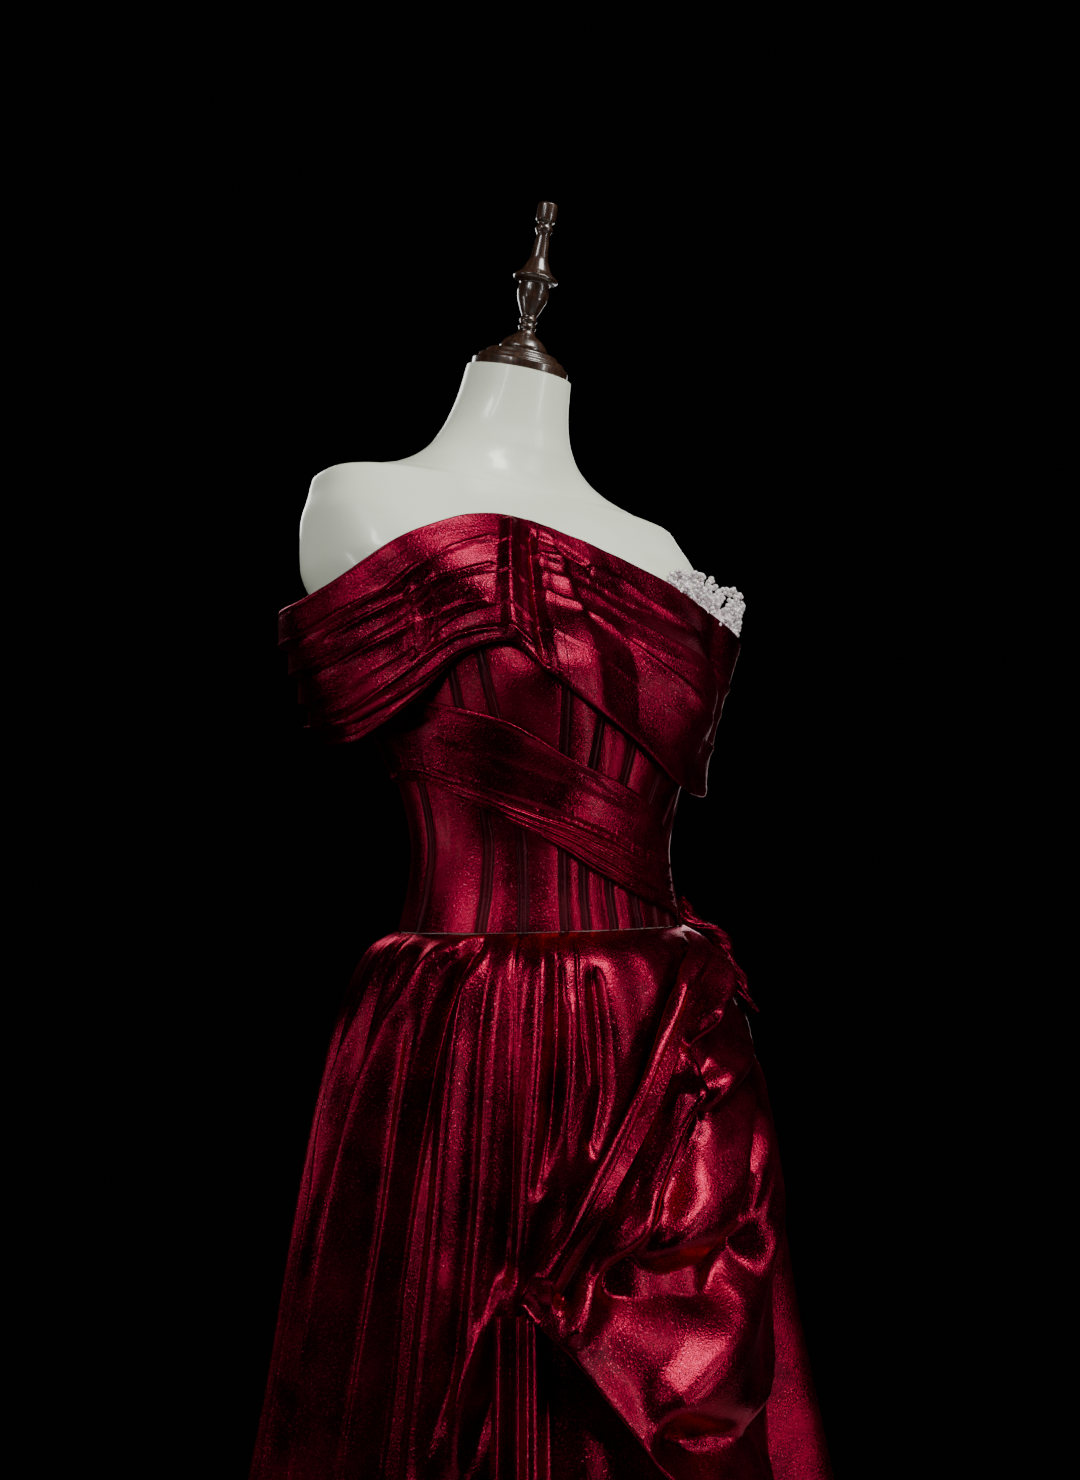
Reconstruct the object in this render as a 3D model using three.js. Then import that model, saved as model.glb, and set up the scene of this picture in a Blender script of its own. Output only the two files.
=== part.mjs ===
import * as THREE from 'three';

// An off-the-shoulder evening gown on a limbless dress form with a turned cap and a round stand.
// Millimetres, +Z up. The gown's front looks along -Y and its wearer's left is +X.
// The origin is the middle of the stand's underside, on the floor.
// Angles go round the +Z axis in degrees: 0 at the front, +90 at the wearer's left, 180 at the back.

const WAIST = 1040;
const BODICE_TOP = 1262;
const HEM = 8;
const FORM_BOTTOM = 700;
const NECK_TOP = 1537;
const SEAM_GAP = 0.3;
const CLOTH = 1.6;
const BODICE_FACES = { inner: 1, outer: 3 };
const CHANNEL_FACES = { inner: 3.5, outer: 4.7 };
const CHANNEL_WIDTH = 9;
const SASH_INNER = 6.4;
const ARM_AXIS_Y = 40;
const NORMAL_STEP = 0.002;

const DEG = Math.PI / 180;
const { clamp, lerp, smoothstep } = THREE.MathUtils;

const finish = {
  velvet: { color: 0x7d0a1e, roughness: 0.42, metalness: 0.15 },
  bodiceVelvet: { color: 0x6e0a1c, roughness: 0.42, metalness: 0.15 },
  channelVelvet: { color: 0x3a0610, roughness: 0.5, metalness: 0.1 },
  beads: { color: 0xe9dfe2, roughness: 0.12, metalness: 0 },
  formGloss: { color: 0xe6ece6, roughness: 0.25, metalness: 0 },
  turnedWood: { color: 0x2c1c15, roughness: 0.3, metalness: 0 },
  standMetal: { color: 0x1d1b1c, roughness: 0.45, metalness: 0.6 },
};

const gown = new THREE.Group();

function add(name, finishName, geometry) {
  const mesh = new THREE.Mesh(geometry, new THREE.MeshStandardMaterial(finish[finishName]));
  mesh.name = name;
  gown.add(mesh);
  return mesh;
}

// Rows of a table as objects, one value for each named column.
function rows(columns, values) {
  const names = columns.split(' ');
  return values.map((row) => Object.fromEntries(names.map((name, i) => [name, row[i]])));
}

// A smooth curve through two columns of a table. It never swings past the table's own values.
function through(table, along, column) {
  const x = table.map((row) => row[along]);
  const y = table.map((row) => row[column]);
  const rise = x.slice(1).map((next, i) => (y[i + 1] - y[i]) / (next - x[i]));
  const slope = y.map((value, i) => {
    const before = rise[i - 1] ?? rise[i];
    const after = rise[i] ?? rise[i - 1];
    return before * after > 0 ? 2 * before * after / (before + after) : 0;
  });
  return (at) => {
    const t = clamp(at, x[0], x.at(-1));
    const i = Math.max(0, x.slice(1, -1).filter((knot) => knot < t).length);
    const span = x[i + 1] - x[i];
    const s = (t - x[i]) / span;
    return y[i] * (1 + 2 * s) * (1 - s) ** 2 + slope[i] * span * s * (1 - s) ** 2
      + y[i + 1] * s * s * (3 - 2 * s) - slope[i + 1] * span * s * s * (1 - s);
  };
}

// Every column of a table as its own curve against one of them.
function curves(table, along) {
  const names = Object.keys(table[0]).filter((name) => name !== along);
  return Object.fromEntries(names.map((name) => [name, through(table, along, name)]));
}

function steps(from, to, count) {
  return Array.from({ length: count + 1 }, (_, i) => lerp(from, to, i / count));
}

function solid(points, faces) {
  let volume = 0;
  for (const [a, b, c] of faces) {
    volume += points[a].dot(new THREE.Vector3().crossVectors(points[b], points[c]));
  }
  const outward = volume > 0 ? faces : faces.map(([a, b, c]) => [a, c, b]);
  const geometry = new THREE.BufferGeometry().setFromPoints(points);
  geometry.setIndex(outward.flat());
  geometry.computeVertexNormals();
  return geometry;
}

// A closed body between two grids of points: outer face, inner face and the four edges between them.
function shell(outer, inner) {
  const high = outer.length;
  const wide = outer[0].length;
  const points = [...outer.flat(), ...inner.flat()];
  const out = (i, j) => i * wide + j;
  const back = (i, j) => high * wide + i * wide + j;
  const faces = [];
  const quad = (a, b, c, d) => faces.push([a, b, c], [a, c, d]);
  for (let i = 0; i < high - 1; i++) {
    for (let j = 0; j < wide - 1; j++) {
      quad(out(i, j), out(i, j + 1), out(i + 1, j + 1), out(i + 1, j));
      quad(back(i, j), back(i + 1, j), back(i + 1, j + 1), back(i, j + 1));
    }
    quad(out(i, 0), out(i + 1, 0), back(i + 1, 0), back(i, 0));
    quad(out(i + 1, wide - 1), out(i, wide - 1), back(i, wide - 1), back(i + 1, wide - 1));
  }
  for (let j = 0; j < wide - 1; j++) {
    quad(out(0, j + 1), out(0, j), back(0, j), back(0, j + 1));
    quad(out(high - 1, j), out(high - 1, j + 1), back(high - 1, j + 1), back(high - 1, j));
  }
  return solid(points, faces);
}

// A wall of cloth. face(u, v) is the surface, and the wall lies between relief(u, v) outside it
// and the wall's thickness inside it, both along the surface's normal.
function clothWall(face, us, vs, thickness = CLOTH, relief = () => 0) {
  const du = (us.at(-1) - us[0]) * NORMAL_STEP;
  const dv = (vs.at(-1) - vs[0]) * NORMAL_STEP;
  const outer = [];
  const inner = [];
  for (const v of vs) {
    const outerRow = [];
    const innerRow = [];
    for (const u of us) {
      const alongU = face(u + du, v).sub(face(u - du, v));
      const alongV = face(u, v + dv).sub(face(u, v - dv));
      const normal = alongU.cross(alongV).normalize();
      outerRow.push(face(u, v).addScaledVector(normal, relief(u, v)));
      innerRow.push(face(u, v).addScaledVector(normal, -thickness));
    }
    outer.push(outerRow);
    inner.push(innerRow);
  }
  return shell(outer, inner);
}

// A closed body through rings of points, each ring closed by a flat cap at the two ends.
function loft(rings) {
  const around = rings[0].length;
  const points = rings.flat();
  const faces = [];
  for (let i = 0; i < rings.length - 1; i++) {
    for (let j = 0; j < around; j++) {
      const next = (j + 1) % around;
      const [a, b, c, d] = [i * around + j, i * around + next, (i + 1) * around + next, (i + 1) * around + j];
      faces.push([a, b, c], [a, c, d]);
    }
  }
  for (const [ring, turn] of [[0, 1], [rings.length - 1, -1]]) {
    const middle = points.push(rings[ring].reduce((sum, p) => sum.add(p), new THREE.Vector3())
      .divideScalar(around)) - 1;
    for (let j = 0; j < around; j++) {
      const edge = [ring * around + (j + 1) % around, ring * around + j];
      faces.push(turn > 0 ? [middle, ...edge] : [middle, ...edge.reverse()]);
    }
  }
  return solid(points, faces);
}

function around(angle, radius, z, axisY = 0) {
  return new THREE.Vector3(radius * Math.sin(angle * DEG), axisY - radius * Math.cos(angle * DEG), z);
}

// The dress form: rounded sections from its cut-off hips to the tilted top of its neck.
const FORM = rows('z y side front back roundness tilt', [
  [700, 14, 152, 88, 104, 2.2, 0],
  [760, 14, 165, 100, 116, 2.2, 0],
  [830, 12, 171, 106, 122, 2.2, 0],
  [900, 9, 165, 102, 118, 2.2, 0],
  [970, 4, 149, 94, 104, 2.15, 0],
  [1040, 0, 128, 87, 93, 2.1, 0],
  [1075, 0, 119, 81, 88, 2.1, 0],
  [1105, 0, 115.5, 82, 86, 2.1, 0],
  [1125, 2, 117, 90, 86, 2.1, 0],
  [1150, 5, 121.5, 102, 88, 2.1, 0],
  [1175, 8, 128, 113, 92, 2.15, 0],
  [1200, 12, 135, 121, 102, 2.2, 0],
  [1240, 20, 142, 128, 107, 2.2, 0],
  [1275, 28, 150, 125, 106, 2.4, 0],
  [1310, 36, 182, 114, 101, 2.8, 0],
  [1340, 42, 195, 105, 92, 3, 0],
  [1375, 45, 197, 86, 78, 3, 0],
  [1398, 48, 191, 72, 68, 3, 0],
  [1414, 50, 187, 62, 60, 3, 1],
  [1425, 52, 155, 58, 57, 2.5, 4],
  [1438, 53, 116, 57, 57, 2.2, 6],
  [1452, 52, 90, 57, 57, 2, 9],
  [1468, 50, 71, 57, 57, 2, 13],
  [1490, 44, 58, 53, 53, 2, 17],
  [1514, 36, 51, 50, 50, 2, 18],
  [NECK_TOP, 28, 48, 48, 48, 2, 18],
]);
const BUST = { angle: 31, halfAngle: 21, z: 1238, halfHeight: 42, depth: 20 };
const form = curves(FORM, 'z');

function formRadius(angle, z) {
  const side = Math.abs(Math.sin(angle * DEG)) / form.side(z);
  const depth = Math.cos(angle * DEG) > 0 ? form.front(z) : form.back(z);
  const power = form.roundness(z);
  const oval = (side ** power + (Math.abs(Math.cos(angle * DEG)) / depth) ** power) ** (-1 / power);
  const across = (Math.abs(angle) - BUST.angle) / BUST.halfAngle;
  const up = (z - BUST.z) / BUST.halfHeight;
  return oval + BUST.depth * Math.exp(-across * across - up * up);
}

function formPoint(angle, z, off = 0) {
  const radius = formRadius(angle, z) + off;
  const lean = form.tilt(z) * DEG;
  const forward = radius * Math.cos(angle * DEG);
  return new THREE.Vector3(
    radius * Math.sin(angle * DEG), form.y(z) - forward * Math.cos(lean), z - forward * Math.sin(lean),
  );
}

// The form's radius in one direction about the upright axis that the shoulder band is drawn round.
function formRadiusFromArmAxis(angle, z) {
  let turn = angle;
  for (let i = 0; i < 5; i++) {
    const p = formPoint(turn, z);
    turn += angle - Math.atan2(p.x, ARM_AXIS_Y - p.y) / DEG;
  }
  const p = formPoint(turn, z);
  return Math.hypot(p.x, p.y - ARM_AXIS_Y);
}

const BODICE_ROWS = [WAIST + SEAM_GAP / 2, 1072, 1098, 1120, 1144, 1172, 1204, 1234, BODICE_TOP];
const FORM_ROWS = [
  FORM_BOTTOM, 760, 830, 900, 970, ...BODICE_ROWS,
  1288, 1310, 1340, 1370, 1398, 1414, 1425, 1438, 1452, 1468, 1490, 1514, NECK_TOP,
];
const FORM_SIDES = 28;
const FORM_TURNS = steps(-180, 180, FORM_SIDES).slice(0, -1);
add('form_torso', 'formGloss', loft(FORM_ROWS.map((z) => FORM_TURNS.map((turn) => formPoint(turn, z)))));

// The turned cap on the neck and the finial above it, both on the neck's own tilted axis.
const NECK_TILT = 18;
const CAP_PROFILE = [
  [0, 0], [44, 0], [44, 8], [40, 9], [39, 13], [33.5, 14], [32.5, 18], [24, 20], [0, 20],
];
const FINIAL_PROFILE = [
  [0, 0], [22, 0], [22, 3], [18, 9], [9, 15], [7, 19], [8.5, 22], [6.5, 25], [8.5, 28], [6.5, 31], [9, 36],
  [13.5, 46], [14.5, 53], [13, 60], [19, 62], [21, 65], [14, 70], [8, 82], [5.5, 103], [8.5, 108], [5.5, 113],
  [9, 115], [9, 130], [0, 130],
];
const TURNED_SIDES = 12;

function turned(profile, startHeight) {
  const lathe = new THREE.LatheGeometry(profile.map(([r, h]) => new THREE.Vector2(r, h)), TURNED_SIDES);
  lathe.rotateX(Math.PI / 2);
  lathe.translate(0, 0, startHeight);
  lathe.rotateX(NECK_TILT * DEG);
  lathe.translate(0, form.y(NECK_TOP), NECK_TOP);
  return lathe;
}
add('neck_cap', 'turnedWood', turned(CAP_PROFILE, SEAM_GAP));
add('finial', 'turnedWood', turned(FINIAL_PROFILE, CAP_PROFILE.at(-1)[1] + 2 * SEAM_GAP));

// The stand: a heavy round base and a pole up to the form's underside.
const BASE = {
  radius: 185, rimHeight: 12, rimRoundIn: 6, rimRoundUp: 4, height: 24, hubRadius: 30, sides: 28,
};
const POLE = { radius: 16, sides: 16 };

function upright(profile, sides) {
  const lathe = new THREE.LatheGeometry(profile.map(([r, h]) => new THREE.Vector2(r, h)), sides);
  return lathe.rotateX(Math.PI / 2);
}
add('stand_base', 'standMetal', upright([
  [0, 0], [BASE.radius, 0], [BASE.radius, BASE.rimHeight],
  [BASE.radius - BASE.rimRoundIn, BASE.rimHeight + BASE.rimRoundUp],
  [BASE.hubRadius, BASE.height], [0, BASE.height],
], BASE.sides));
const poleBottom = BASE.height + SEAM_GAP;
const poleTop = FORM_BOTTOM - SEAM_GAP;
add('stand_pole', 'standMetal', upright([
  [0, poleBottom], [POLE.radius, poleBottom], [POLE.radius, poleTop], [0, poleTop],
], POLE.sides));

// The bodice seams, from the back opening round the front and back to it. Each is an angle at three heights,
// and how much further out its boning channel lies where the cloth bridges a hollow.
const BODICE_SEAMS = rows('name waist middle top lift', [
  ['back_opening_right', -180, -180, -180, 0],
  ['back_right', -150, -150, -150, 0],
  ['side_back_right', -119, -119, -119, 0],
  ['side_right', -88, -86, -86, 0],
  ['outer_right', -62.6, -60.3, -61, 0],
  ['bust_right', -47.2, -48, -51, 0],
  ['inner_right', -28.9, -29, -26, 0],
  ['centre_right', -18, -18, -11, 0],
  ['centre', -1, -0.5, 4, 1.1],
  ['centre_left', 16.6, 20.5, 23, 0],
  ['inner_left', 30.5, 41.5, 50, 0.3],
  ['outer_left', 41.5, 56, 66, 0.3],
  ['side_front_left', 63, 75, 82, 0.3],
  ['side_left', 90, 95, 98, 0],
  ['side_back_left', 119, 119, 119, 0],
  ['back_left', 150, 150, 150, 0],
  ['back_opening_left', 180, 180, 180, 0],
]);
const SEAM_MIDDLE = 1140;
const FULL_LIFT = 1200;

function seamAngle(seam, z) {
  return z < SEAM_MIDDLE
    ? lerp(seam.waist, seam.middle, (z - WAIST) / (SEAM_MIDDLE - WAIST))
    : lerp(seam.middle, seam.top, (z - SEAM_MIDDLE) / (BODICE_TOP - SEAM_MIDDLE));
}

// The angle that a distance across the cloth takes up at one place.
function turnOf(distance, angle, z) {
  return distance / formRadius(angle, z) / DEG;
}

const PANEL_STEP = 6;
const BACK_PANEL_STEP = 10;
const BACK_STARTS = 90;
BODICE_SEAMS.slice(1).forEach((right, i) => {
  const left = BODICE_SEAMS[i];
  const step = Math.abs(left.waist + right.waist) / 2 < BACK_STARTS ? PANEL_STEP : BACK_PANEL_STEP;
  const widest = Math.max(right.waist - left.waist, right.top - left.top);
  const columns = Math.max(2, Math.ceil(widest / step));
  const face = (off) => BODICE_ROWS.map((z) => {
    const start = seamAngle(left, z) + turnOf(SEAM_GAP / 2, left.waist, z);
    const end = seamAngle(right, z) - turnOf(SEAM_GAP / 2, right.waist, z);
    return steps(start, end, columns).map((angle) => formPoint(angle, z, off));
  });
  const name = `bodice_${i + 1}_${left.name}_to_${right.name}`.replace('back_opening', 'opening');
  add(name, 'bodiceVelvet', shell(face(BODICE_FACES.outer), face(BODICE_FACES.inner)));
});

// A boning channel lies over every bodice seam apart from the back opening.
function tape(seam, width, faces, heights) {
  const face = (off) => heights.map((z) => {
    const middle = seamAngle(seam, z);
    const half = turnOf(width / 2, middle, z);
    return [middle - half, middle + half].map((angle) => formPoint(
      angle, z, off + seam.lift * smoothstep(z, SEAM_MIDDLE, FULL_LIFT),
    ));
  });
  return shell(face(faces.outer), face(faces.inner));
}
for (const seam of BODICE_SEAMS.slice(1, -1)) {
  add(`boning_${seam.name}`, 'channelVelvet', tape(seam, CHANNEL_WIDTH, CHANNEL_FACES, BODICE_ROWS));
}
const ZIP = { width: 7, top: 1204 };
const zipRows = BODICE_ROWS.filter((z) => z <= ZIP.top);
add('back_zip_cover', 'channelVelvet', tape(BODICE_SEAMS[0], ZIP.width, CHANNEL_FACES, zipRows));

// The sash: a flat bias strip across the bodice, with loose pleats under its lower edge.
const SASH = rows('angle top middle low', [
  [-118, 1230, 1170, 1163],
  [-84, 1225, 1165, 1157],
  [-70, 1216, 1154, 1144],
  [-60, 1209, 1146, 1135],
  [-48, 1199, 1135, 1121],
  [-38, 1186, 1128, 1111],
  [-28, 1172, 1123, 1101],
  [-14, 1161, 1115, 1087],
  [0, 1152, 1108, 1077],
  [12, 1143, 1101, 1069],
  [28, 1130, 1094, 1060],
  [46, 1108, 1083, 1049],
]);
const sash = curves(SASH, 'angle');
const SASH_COLUMNS = steps(-118, 46, 20);
const SASH_PLEATS = { count: 3, rise: 3.2, rowsEach: 2 };
const sashFlat = (off) => steps(0, 1, 4).map((v) => SASH_COLUMNS.map((angle) => formPoint(
  angle, lerp(sash.middle(angle) + SEAM_GAP, sash.top(angle), v), off,
)));
add('sash_flat', 'velvet', shell(sashFlat(SASH_INNER + CLOTH), sashFlat(SASH_INNER)));

const pleatRows = steps(0, 1, SASH_PLEATS.count * SASH_PLEATS.rowsEach);
const sashPleats = (off, rise) => pleatRows.map((v) => SASH_COLUMNS.map((angle) => {
  const roll = Math.abs(Math.sin(v * SASH_PLEATS.count * Math.PI));
  return formPoint(angle, lerp(sash.low(angle), sash.middle(angle), v), off + rise * roll);
}));
add('sash_pleats', 'velvet', shell(
  sashPleats(SASH_INNER + CLOTH, SASH_PLEATS.rise), sashPleats(SASH_INNER, 0),
));

// The skirt: oval sections from the waist seam to the hem, with folds that grow on the way down.
const SKIRT = rows('z side front back fold', [
  [HEM, 352, 332, 398, 24],
  [150, 324, 302, 344, 19],
  [300, 294, 272, 296, 15],
  [450, 264, 242, 254, 12],
  [604, 236, 212, 220, 10],
  [719, 217, 188, 200, 8],
  [797, 207, 174, 186, 7],
  [892, 192, 160, 170, 5.5],
  [949, 180, 148, 158, 4.5],
  [982, 172, 138, 148, 3.5],
  [1015, 160, 124, 135, 2.6],
  [1030, 150, 110, 119, 2],
  [WAIST, 133.6, 92.6, 98.6, 1],
]);
const skirt = curves(SKIRT, 'z');
const FOLD_HEIGHTS = [HEM, 690, 866, WAIST];

// The fold ridges: the angle of each at the hem, low on the thigh, at the hip and at the waist, and its share
// of the fold height.
const FOLDS = rows('hem low hip waist share', [
  [-173, -173, -173, -173, 1],
  [-160, -160, -160, -160, 0.8],
  [-146, -147, -147, -147, 1.1],
  [-133, -134, -134, -134, 0.8],
  [-121, -121, -121, -122, 1],
  [-111, -111, -109, -110, 0.8],
  [-101, -102, -97, -98, 1],
  [-89, -88, -84, -84, 0.9],
  [-76, -75, -71.5, -70, 1],
  [-63, -62.4, -61, -61.5, 0.8],
  [-54, -54.5, -52, -53, 0.6],
  [-45, -46, -42.7, -38.5, 1.1],
  [-32, -33, -33, -31, 0.5],
  [-16, -17, -16, -15, 0.4],
  [2, 2, 2, 2, 0.4],
  [18, 18, 18, 18, 0.35],
  [35, 35, 35, 34, 0.35],
  [51, 51, 50, 50, 0.4],
  [70, 70, 68, 66, 1.3],
  [85, 84, 82, 80, 0.9],
  [99, 98, 96, 94, 1.1],
  [112, 111, 109, 108, 0.8],
  [124, 123, 122, 122, 1],
  [136, 135, 134, 134, 0.8],
  [148, 147, 147, 147, 1.1],
  [160, 160, 160, 160, 0.8],
  [173, 173, 173, 173, 1],
]);
const ridgeAngles = FOLDS.map((fold) => through(
  [fold.hem, fold.low, fold.hip, fold.waist].map((angle, i) => ({ z: FOLD_HEIGHTS[i], angle })), 'z', 'angle',
));

function ridge(index, z) {
  const count = FOLDS.length;
  const wrapped = ((index % count) + count) % count;
  return { angle: ridgeAngles[wrapped](z) + 360 * Math.floor(index / count), share: FOLDS[wrapped].share };
}

// A place round the skirt counted in folds: a whole number is a ridge, and halfway between two is a trough.
function foldAngle(place, z) {
  const index = Math.floor(place);
  return lerp(ridge(index, z).angle, ridge(index + 1, z).angle, place - index);
}

function foldPlace(angle, z) {
  let index = 0;
  while (index < FOLDS.length - 1 && ridge(index + 1, z).angle <= angle) index++;
  if (angle < ridge(0, z).angle) index = -1;
  const start = ridge(index, z).angle;
  return index + (angle - start) / (ridge(index + 1, z).angle - start);
}

function skirtOval(angle, z) {
  const depth = Math.cos(angle * DEG) > 0 ? skirt.front(z) : skirt.back(z);
  return 1 / Math.hypot(Math.sin(angle * DEG) / skirt.side(z), Math.cos(angle * DEG) / depth);
}

// The left edge of the draped over-skirt, from the waist seam down to where it turns straight to the floor.
const CASCADE = rows('z angle', [
  [HEM, -44],
  [698, -45.3],
  [790, -45.5],
  [808, -43.5],
  [832, -39],
  [856, -34],
  [892, -26],
  [937, -16],
  [969, -8],
  [1006, 5],
  [WAIST, 28.6],
]);
const cascade = through(CASCADE, 'z', 'angle');

// Under the drape the skirt falls straighter. `set` is how far it is set back behind the cascade, and `pull`
// how far both layers are drawn in towards the left hip.
const INSET = rows('z set pull', [
  [HEM, 14, 26],
  [300, 18, 46],
  [450, 20, 54],
  [600, 20, 54],
  [660, 20, 46],
  [737, 20, 28],
  [816, 15, 7],
  [866, 11, 1],
  [930, 8, 0],
  [985, 5, 0],
  [1022, 2, 0],
  [WAIST, 0, 0],
]);
const inset = curves(INSET, 'z');
const PULL = { start: 0, full: 46, fade: 56, end: 68 };
const HIP_DENT = { depth: 8, angle: 52, halfAngle: 13, z: 1000, halfHeight: 34 };

function drawnIn(angle, z) {
  const share = smoothstep(angle, PULL.start, PULL.full) * (1 - smoothstep(angle, PULL.fade, PULL.end));
  const across = (angle - HIP_DENT.angle) / HIP_DENT.halfAngle;
  const up = (z - HIP_DENT.z) / HIP_DENT.halfHeight;
  return inset.pull(z) * share + HIP_DENT.depth * Math.exp(-across * across - up * up);
}

// A fold's height at its ridge and its trough, as shares of the whole, and where the skirt steps back under
// the drape: from just behind the cascade's edge to the left hip.
const FOLD_WAVE = { middle: 0.1, half: 0.5 };
const SET_BACK = { start: 2, full: 7, fade: 54, end: 66 };

function skirtRadius(angle, z) {
  const place = foldPlace(angle, z);
  const index = Math.floor(place);
  const share = lerp(ridge(index, z).share, ridge(index + 1, z).share, place - index);
  const wave = FOLD_WAVE.middle + FOLD_WAVE.half * Math.cos((place - index) * 2 * Math.PI);
  const edge = cascade(z);
  const behind = smoothstep(angle, edge + SET_BACK.start, edge + SET_BACK.full);
  const setBack = inset.set(z) * behind * (1 - smoothstep(angle, SET_BACK.fade, SET_BACK.end));
  return skirtOval(angle, z) + skirt.fold(z) * share * wave - setBack - drawnIn(angle, z);
}

const SKIRT_ROWS = [HEM, 180, 360, 530, 680, 780, 860, 930, 990, 1026, WAIST - SEAM_GAP / 2];
const COLUMNS_PER_FOLD = 4;

// The gores between troughs: the fold on each side of which a gore starts, counted from the back opening.
const GORES = rows('name from to', [
  ['back_right', -0.5, 2.5],
  ['side_back_right', 2.5, 6.5],
  ['side_right', 6.5, 9.5],
  ['front_right', 9.5, 12.5],
  ['front', 12.5, 17.5],
  ['side_left', 17.5, 20.5],
  ['side_back_left', 20.5, 23.5],
  ['back_left', 23.5, 26.5],
]);
for (const gore of GORES) {
  const face = (place, z) => {
    const inwards = (place === gore.from ? 1 : 0) - (place === gore.to ? 1 : 0);
    const foldTurn = foldAngle(place + 0.5, z) - foldAngle(place - 0.5, z);
    const foldWidth = foldTurn * DEG * skirtOval(foldAngle(place, z), z);
    const angle = foldAngle(place + inwards * SEAM_GAP / 2 / foldWidth, z);
    return around(angle, skirtRadius(angle, z), z);
  };
  const places = steps(gore.from, gore.to, (gore.to - gore.from) * COLUMNS_PER_FOLD);
  add(`skirt_${gore.name}`, 'velvet', clothWall(face, places, SKIRT_ROWS));
}

// Creases of the draped cloth: a soft ridge along a line of places, each an angle and a height.
const UNROLL_RADIUS = 185;

function distanceToLine(line, angle, z) {
  const flat = ([a, height]) => new THREE.Vector3(a * DEG * UNROLL_RADIUS, height, 0);
  const here = flat([angle, z]);
  let nearest = Infinity;
  for (let i = 0; i < line.length - 1; i++) {
    const stretch = new THREE.Line3(flat(line[i]), flat(line[i + 1]));
    const closest = stretch.closestPointToPoint(here, true, new THREE.Vector3());
    nearest = Math.min(nearest, closest.distanceTo(here));
  }
  return nearest;
}

function creaseLift(creases, angle, z) {
  return creases.reduce((lift, crease) => (
    lift + crease.rise * Math.exp(-((distanceToLine(crease.line, angle, z) / crease.halfWidth) ** 2))
  ), 0);
}

const DRAPE_CREASES = rows('name rise halfWidth line', [
  ['front_roll', 12, 9, [[27, 1030], [5, 995], [-9, 960], [-21, 900], [-31, 850], [-40, 806]]],
  ['second_roll', 9, 9, [[31, 1020], [7, 972], [-4, 932], [-18, 870], [-31, 806], [-37, 772]]],
  ['pocket_rim', 8, 9, [[42, 990], [26, 952], [12, 938], [0, 940]]],
  ['hip_diagonal', 9, 12, [[52, 952], [30, 924], [4, 902], [-12, 886]]],
  ['crest', 13, 10, [[46, 878], [12, 840], [-4, 826], [-19, 838]]],
  ['thigh_diagonal', 9, 16, [[50, 838], [22, 796], [-4, 764], [-18, 742]]],
  ['lower_bowl', 8, 14, [[54, 742], [24, 690], [0, 676]]],
  ['lower_edge_roll', 7, 12, [[-38, 780], [-24, 726], [-12, 684], [6, 640], [30, 600], [52, 584]]],
]);

// The drape's four edges, each a line of places. It starts narrow at the waist and opens like a fan.
const DRAPE_EDGES = {
  top: [[28.6, 1037], [50, 1037]],
  left: [[28.6, 1037], [5, 1006], [-8, 969], [-16, 937], [-26, 892], [-34, 856], [-39, 832], [-44, 800]],
  bottom: [[-44, 800], [-34, 768], [-26, 734], [-17, 694], [-4, 648], [12, 606], [32, 574], [56, 560]],
  right: [[50, 1037], [55, 1000], [57, 950], [58, 880], [58, 800], [57, 700], [56, 560]],
};

// Evenly spaced places along each edge, by a smooth line through its places.
function alongEdge(edge) {
  const flat = edge.map(([a, z]) => new THREE.Vector3(a * DEG * UNROLL_RADIUS, z, 0));
  const line = new THREE.CatmullRomCurve3(flat);
  return (share) => {
    const p = line.getPointAt(clamp(share, 0, 1));
    return new THREE.Vector2(p.x / DEG / UNROLL_RADIUS, p.y);
  };
}
const edge = Object.fromEntries(Object.entries(DRAPE_EDGES).map(([name, line]) => [name, alongEdge(line)]));

// A place on the drape between its four edges, for u across it and v down it.
function drapePlace(u, v) {
  const corner = { tl: edge.top(0), tr: edge.top(1), bl: edge.bottom(0), br: edge.bottom(1) };
  const blend = (name) => (1 - v) * edge.top(u)[name] + v * edge.bottom(u)[name]
    + (1 - u) * edge.left(v)[name] + u * edge.right(v)[name]
    - (1 - u) * (1 - v) * corner.tl[name] - u * (1 - v) * corner.tr[name]
    - (1 - u) * v * corner.bl[name] - u * v * corner.br[name];
  return { angle: blend('x'), z: blend('y') };
}

const DRAPE_CLEAR = 4.8;
const DRAPE_BASE = 4;

function drapeRadius(angle, z) {
  const loose = skirtOval(angle, z) + DRAPE_BASE - drawnIn(angle, z);
  const lying = skirtRadius(angle, z) + DRAPE_CLEAR;
  return Math.max(loose, lying) + creaseLift(DRAPE_CREASES, angle, z);
}

function drapePoint(u, v) {
  const { angle, z } = drapePlace(clamp(u, 0, 1), clamp(v, 0, 1));
  return around(angle, drapeRadius(angle, z), z);
}
const DRAPE_COLUMNS = [0, 0.035, 0.07, 0.11, 0.15, 0.19, 0.23, 0.28, ...steps(0.34, 1, 10)];
const DRAPE_ROWS = [0, 0.06, ...steps(0.12, 1, 14)];
add('hip_drape', 'velvet', clothWall(drapePoint, DRAPE_COLUMNS, DRAPE_ROWS));

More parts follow.
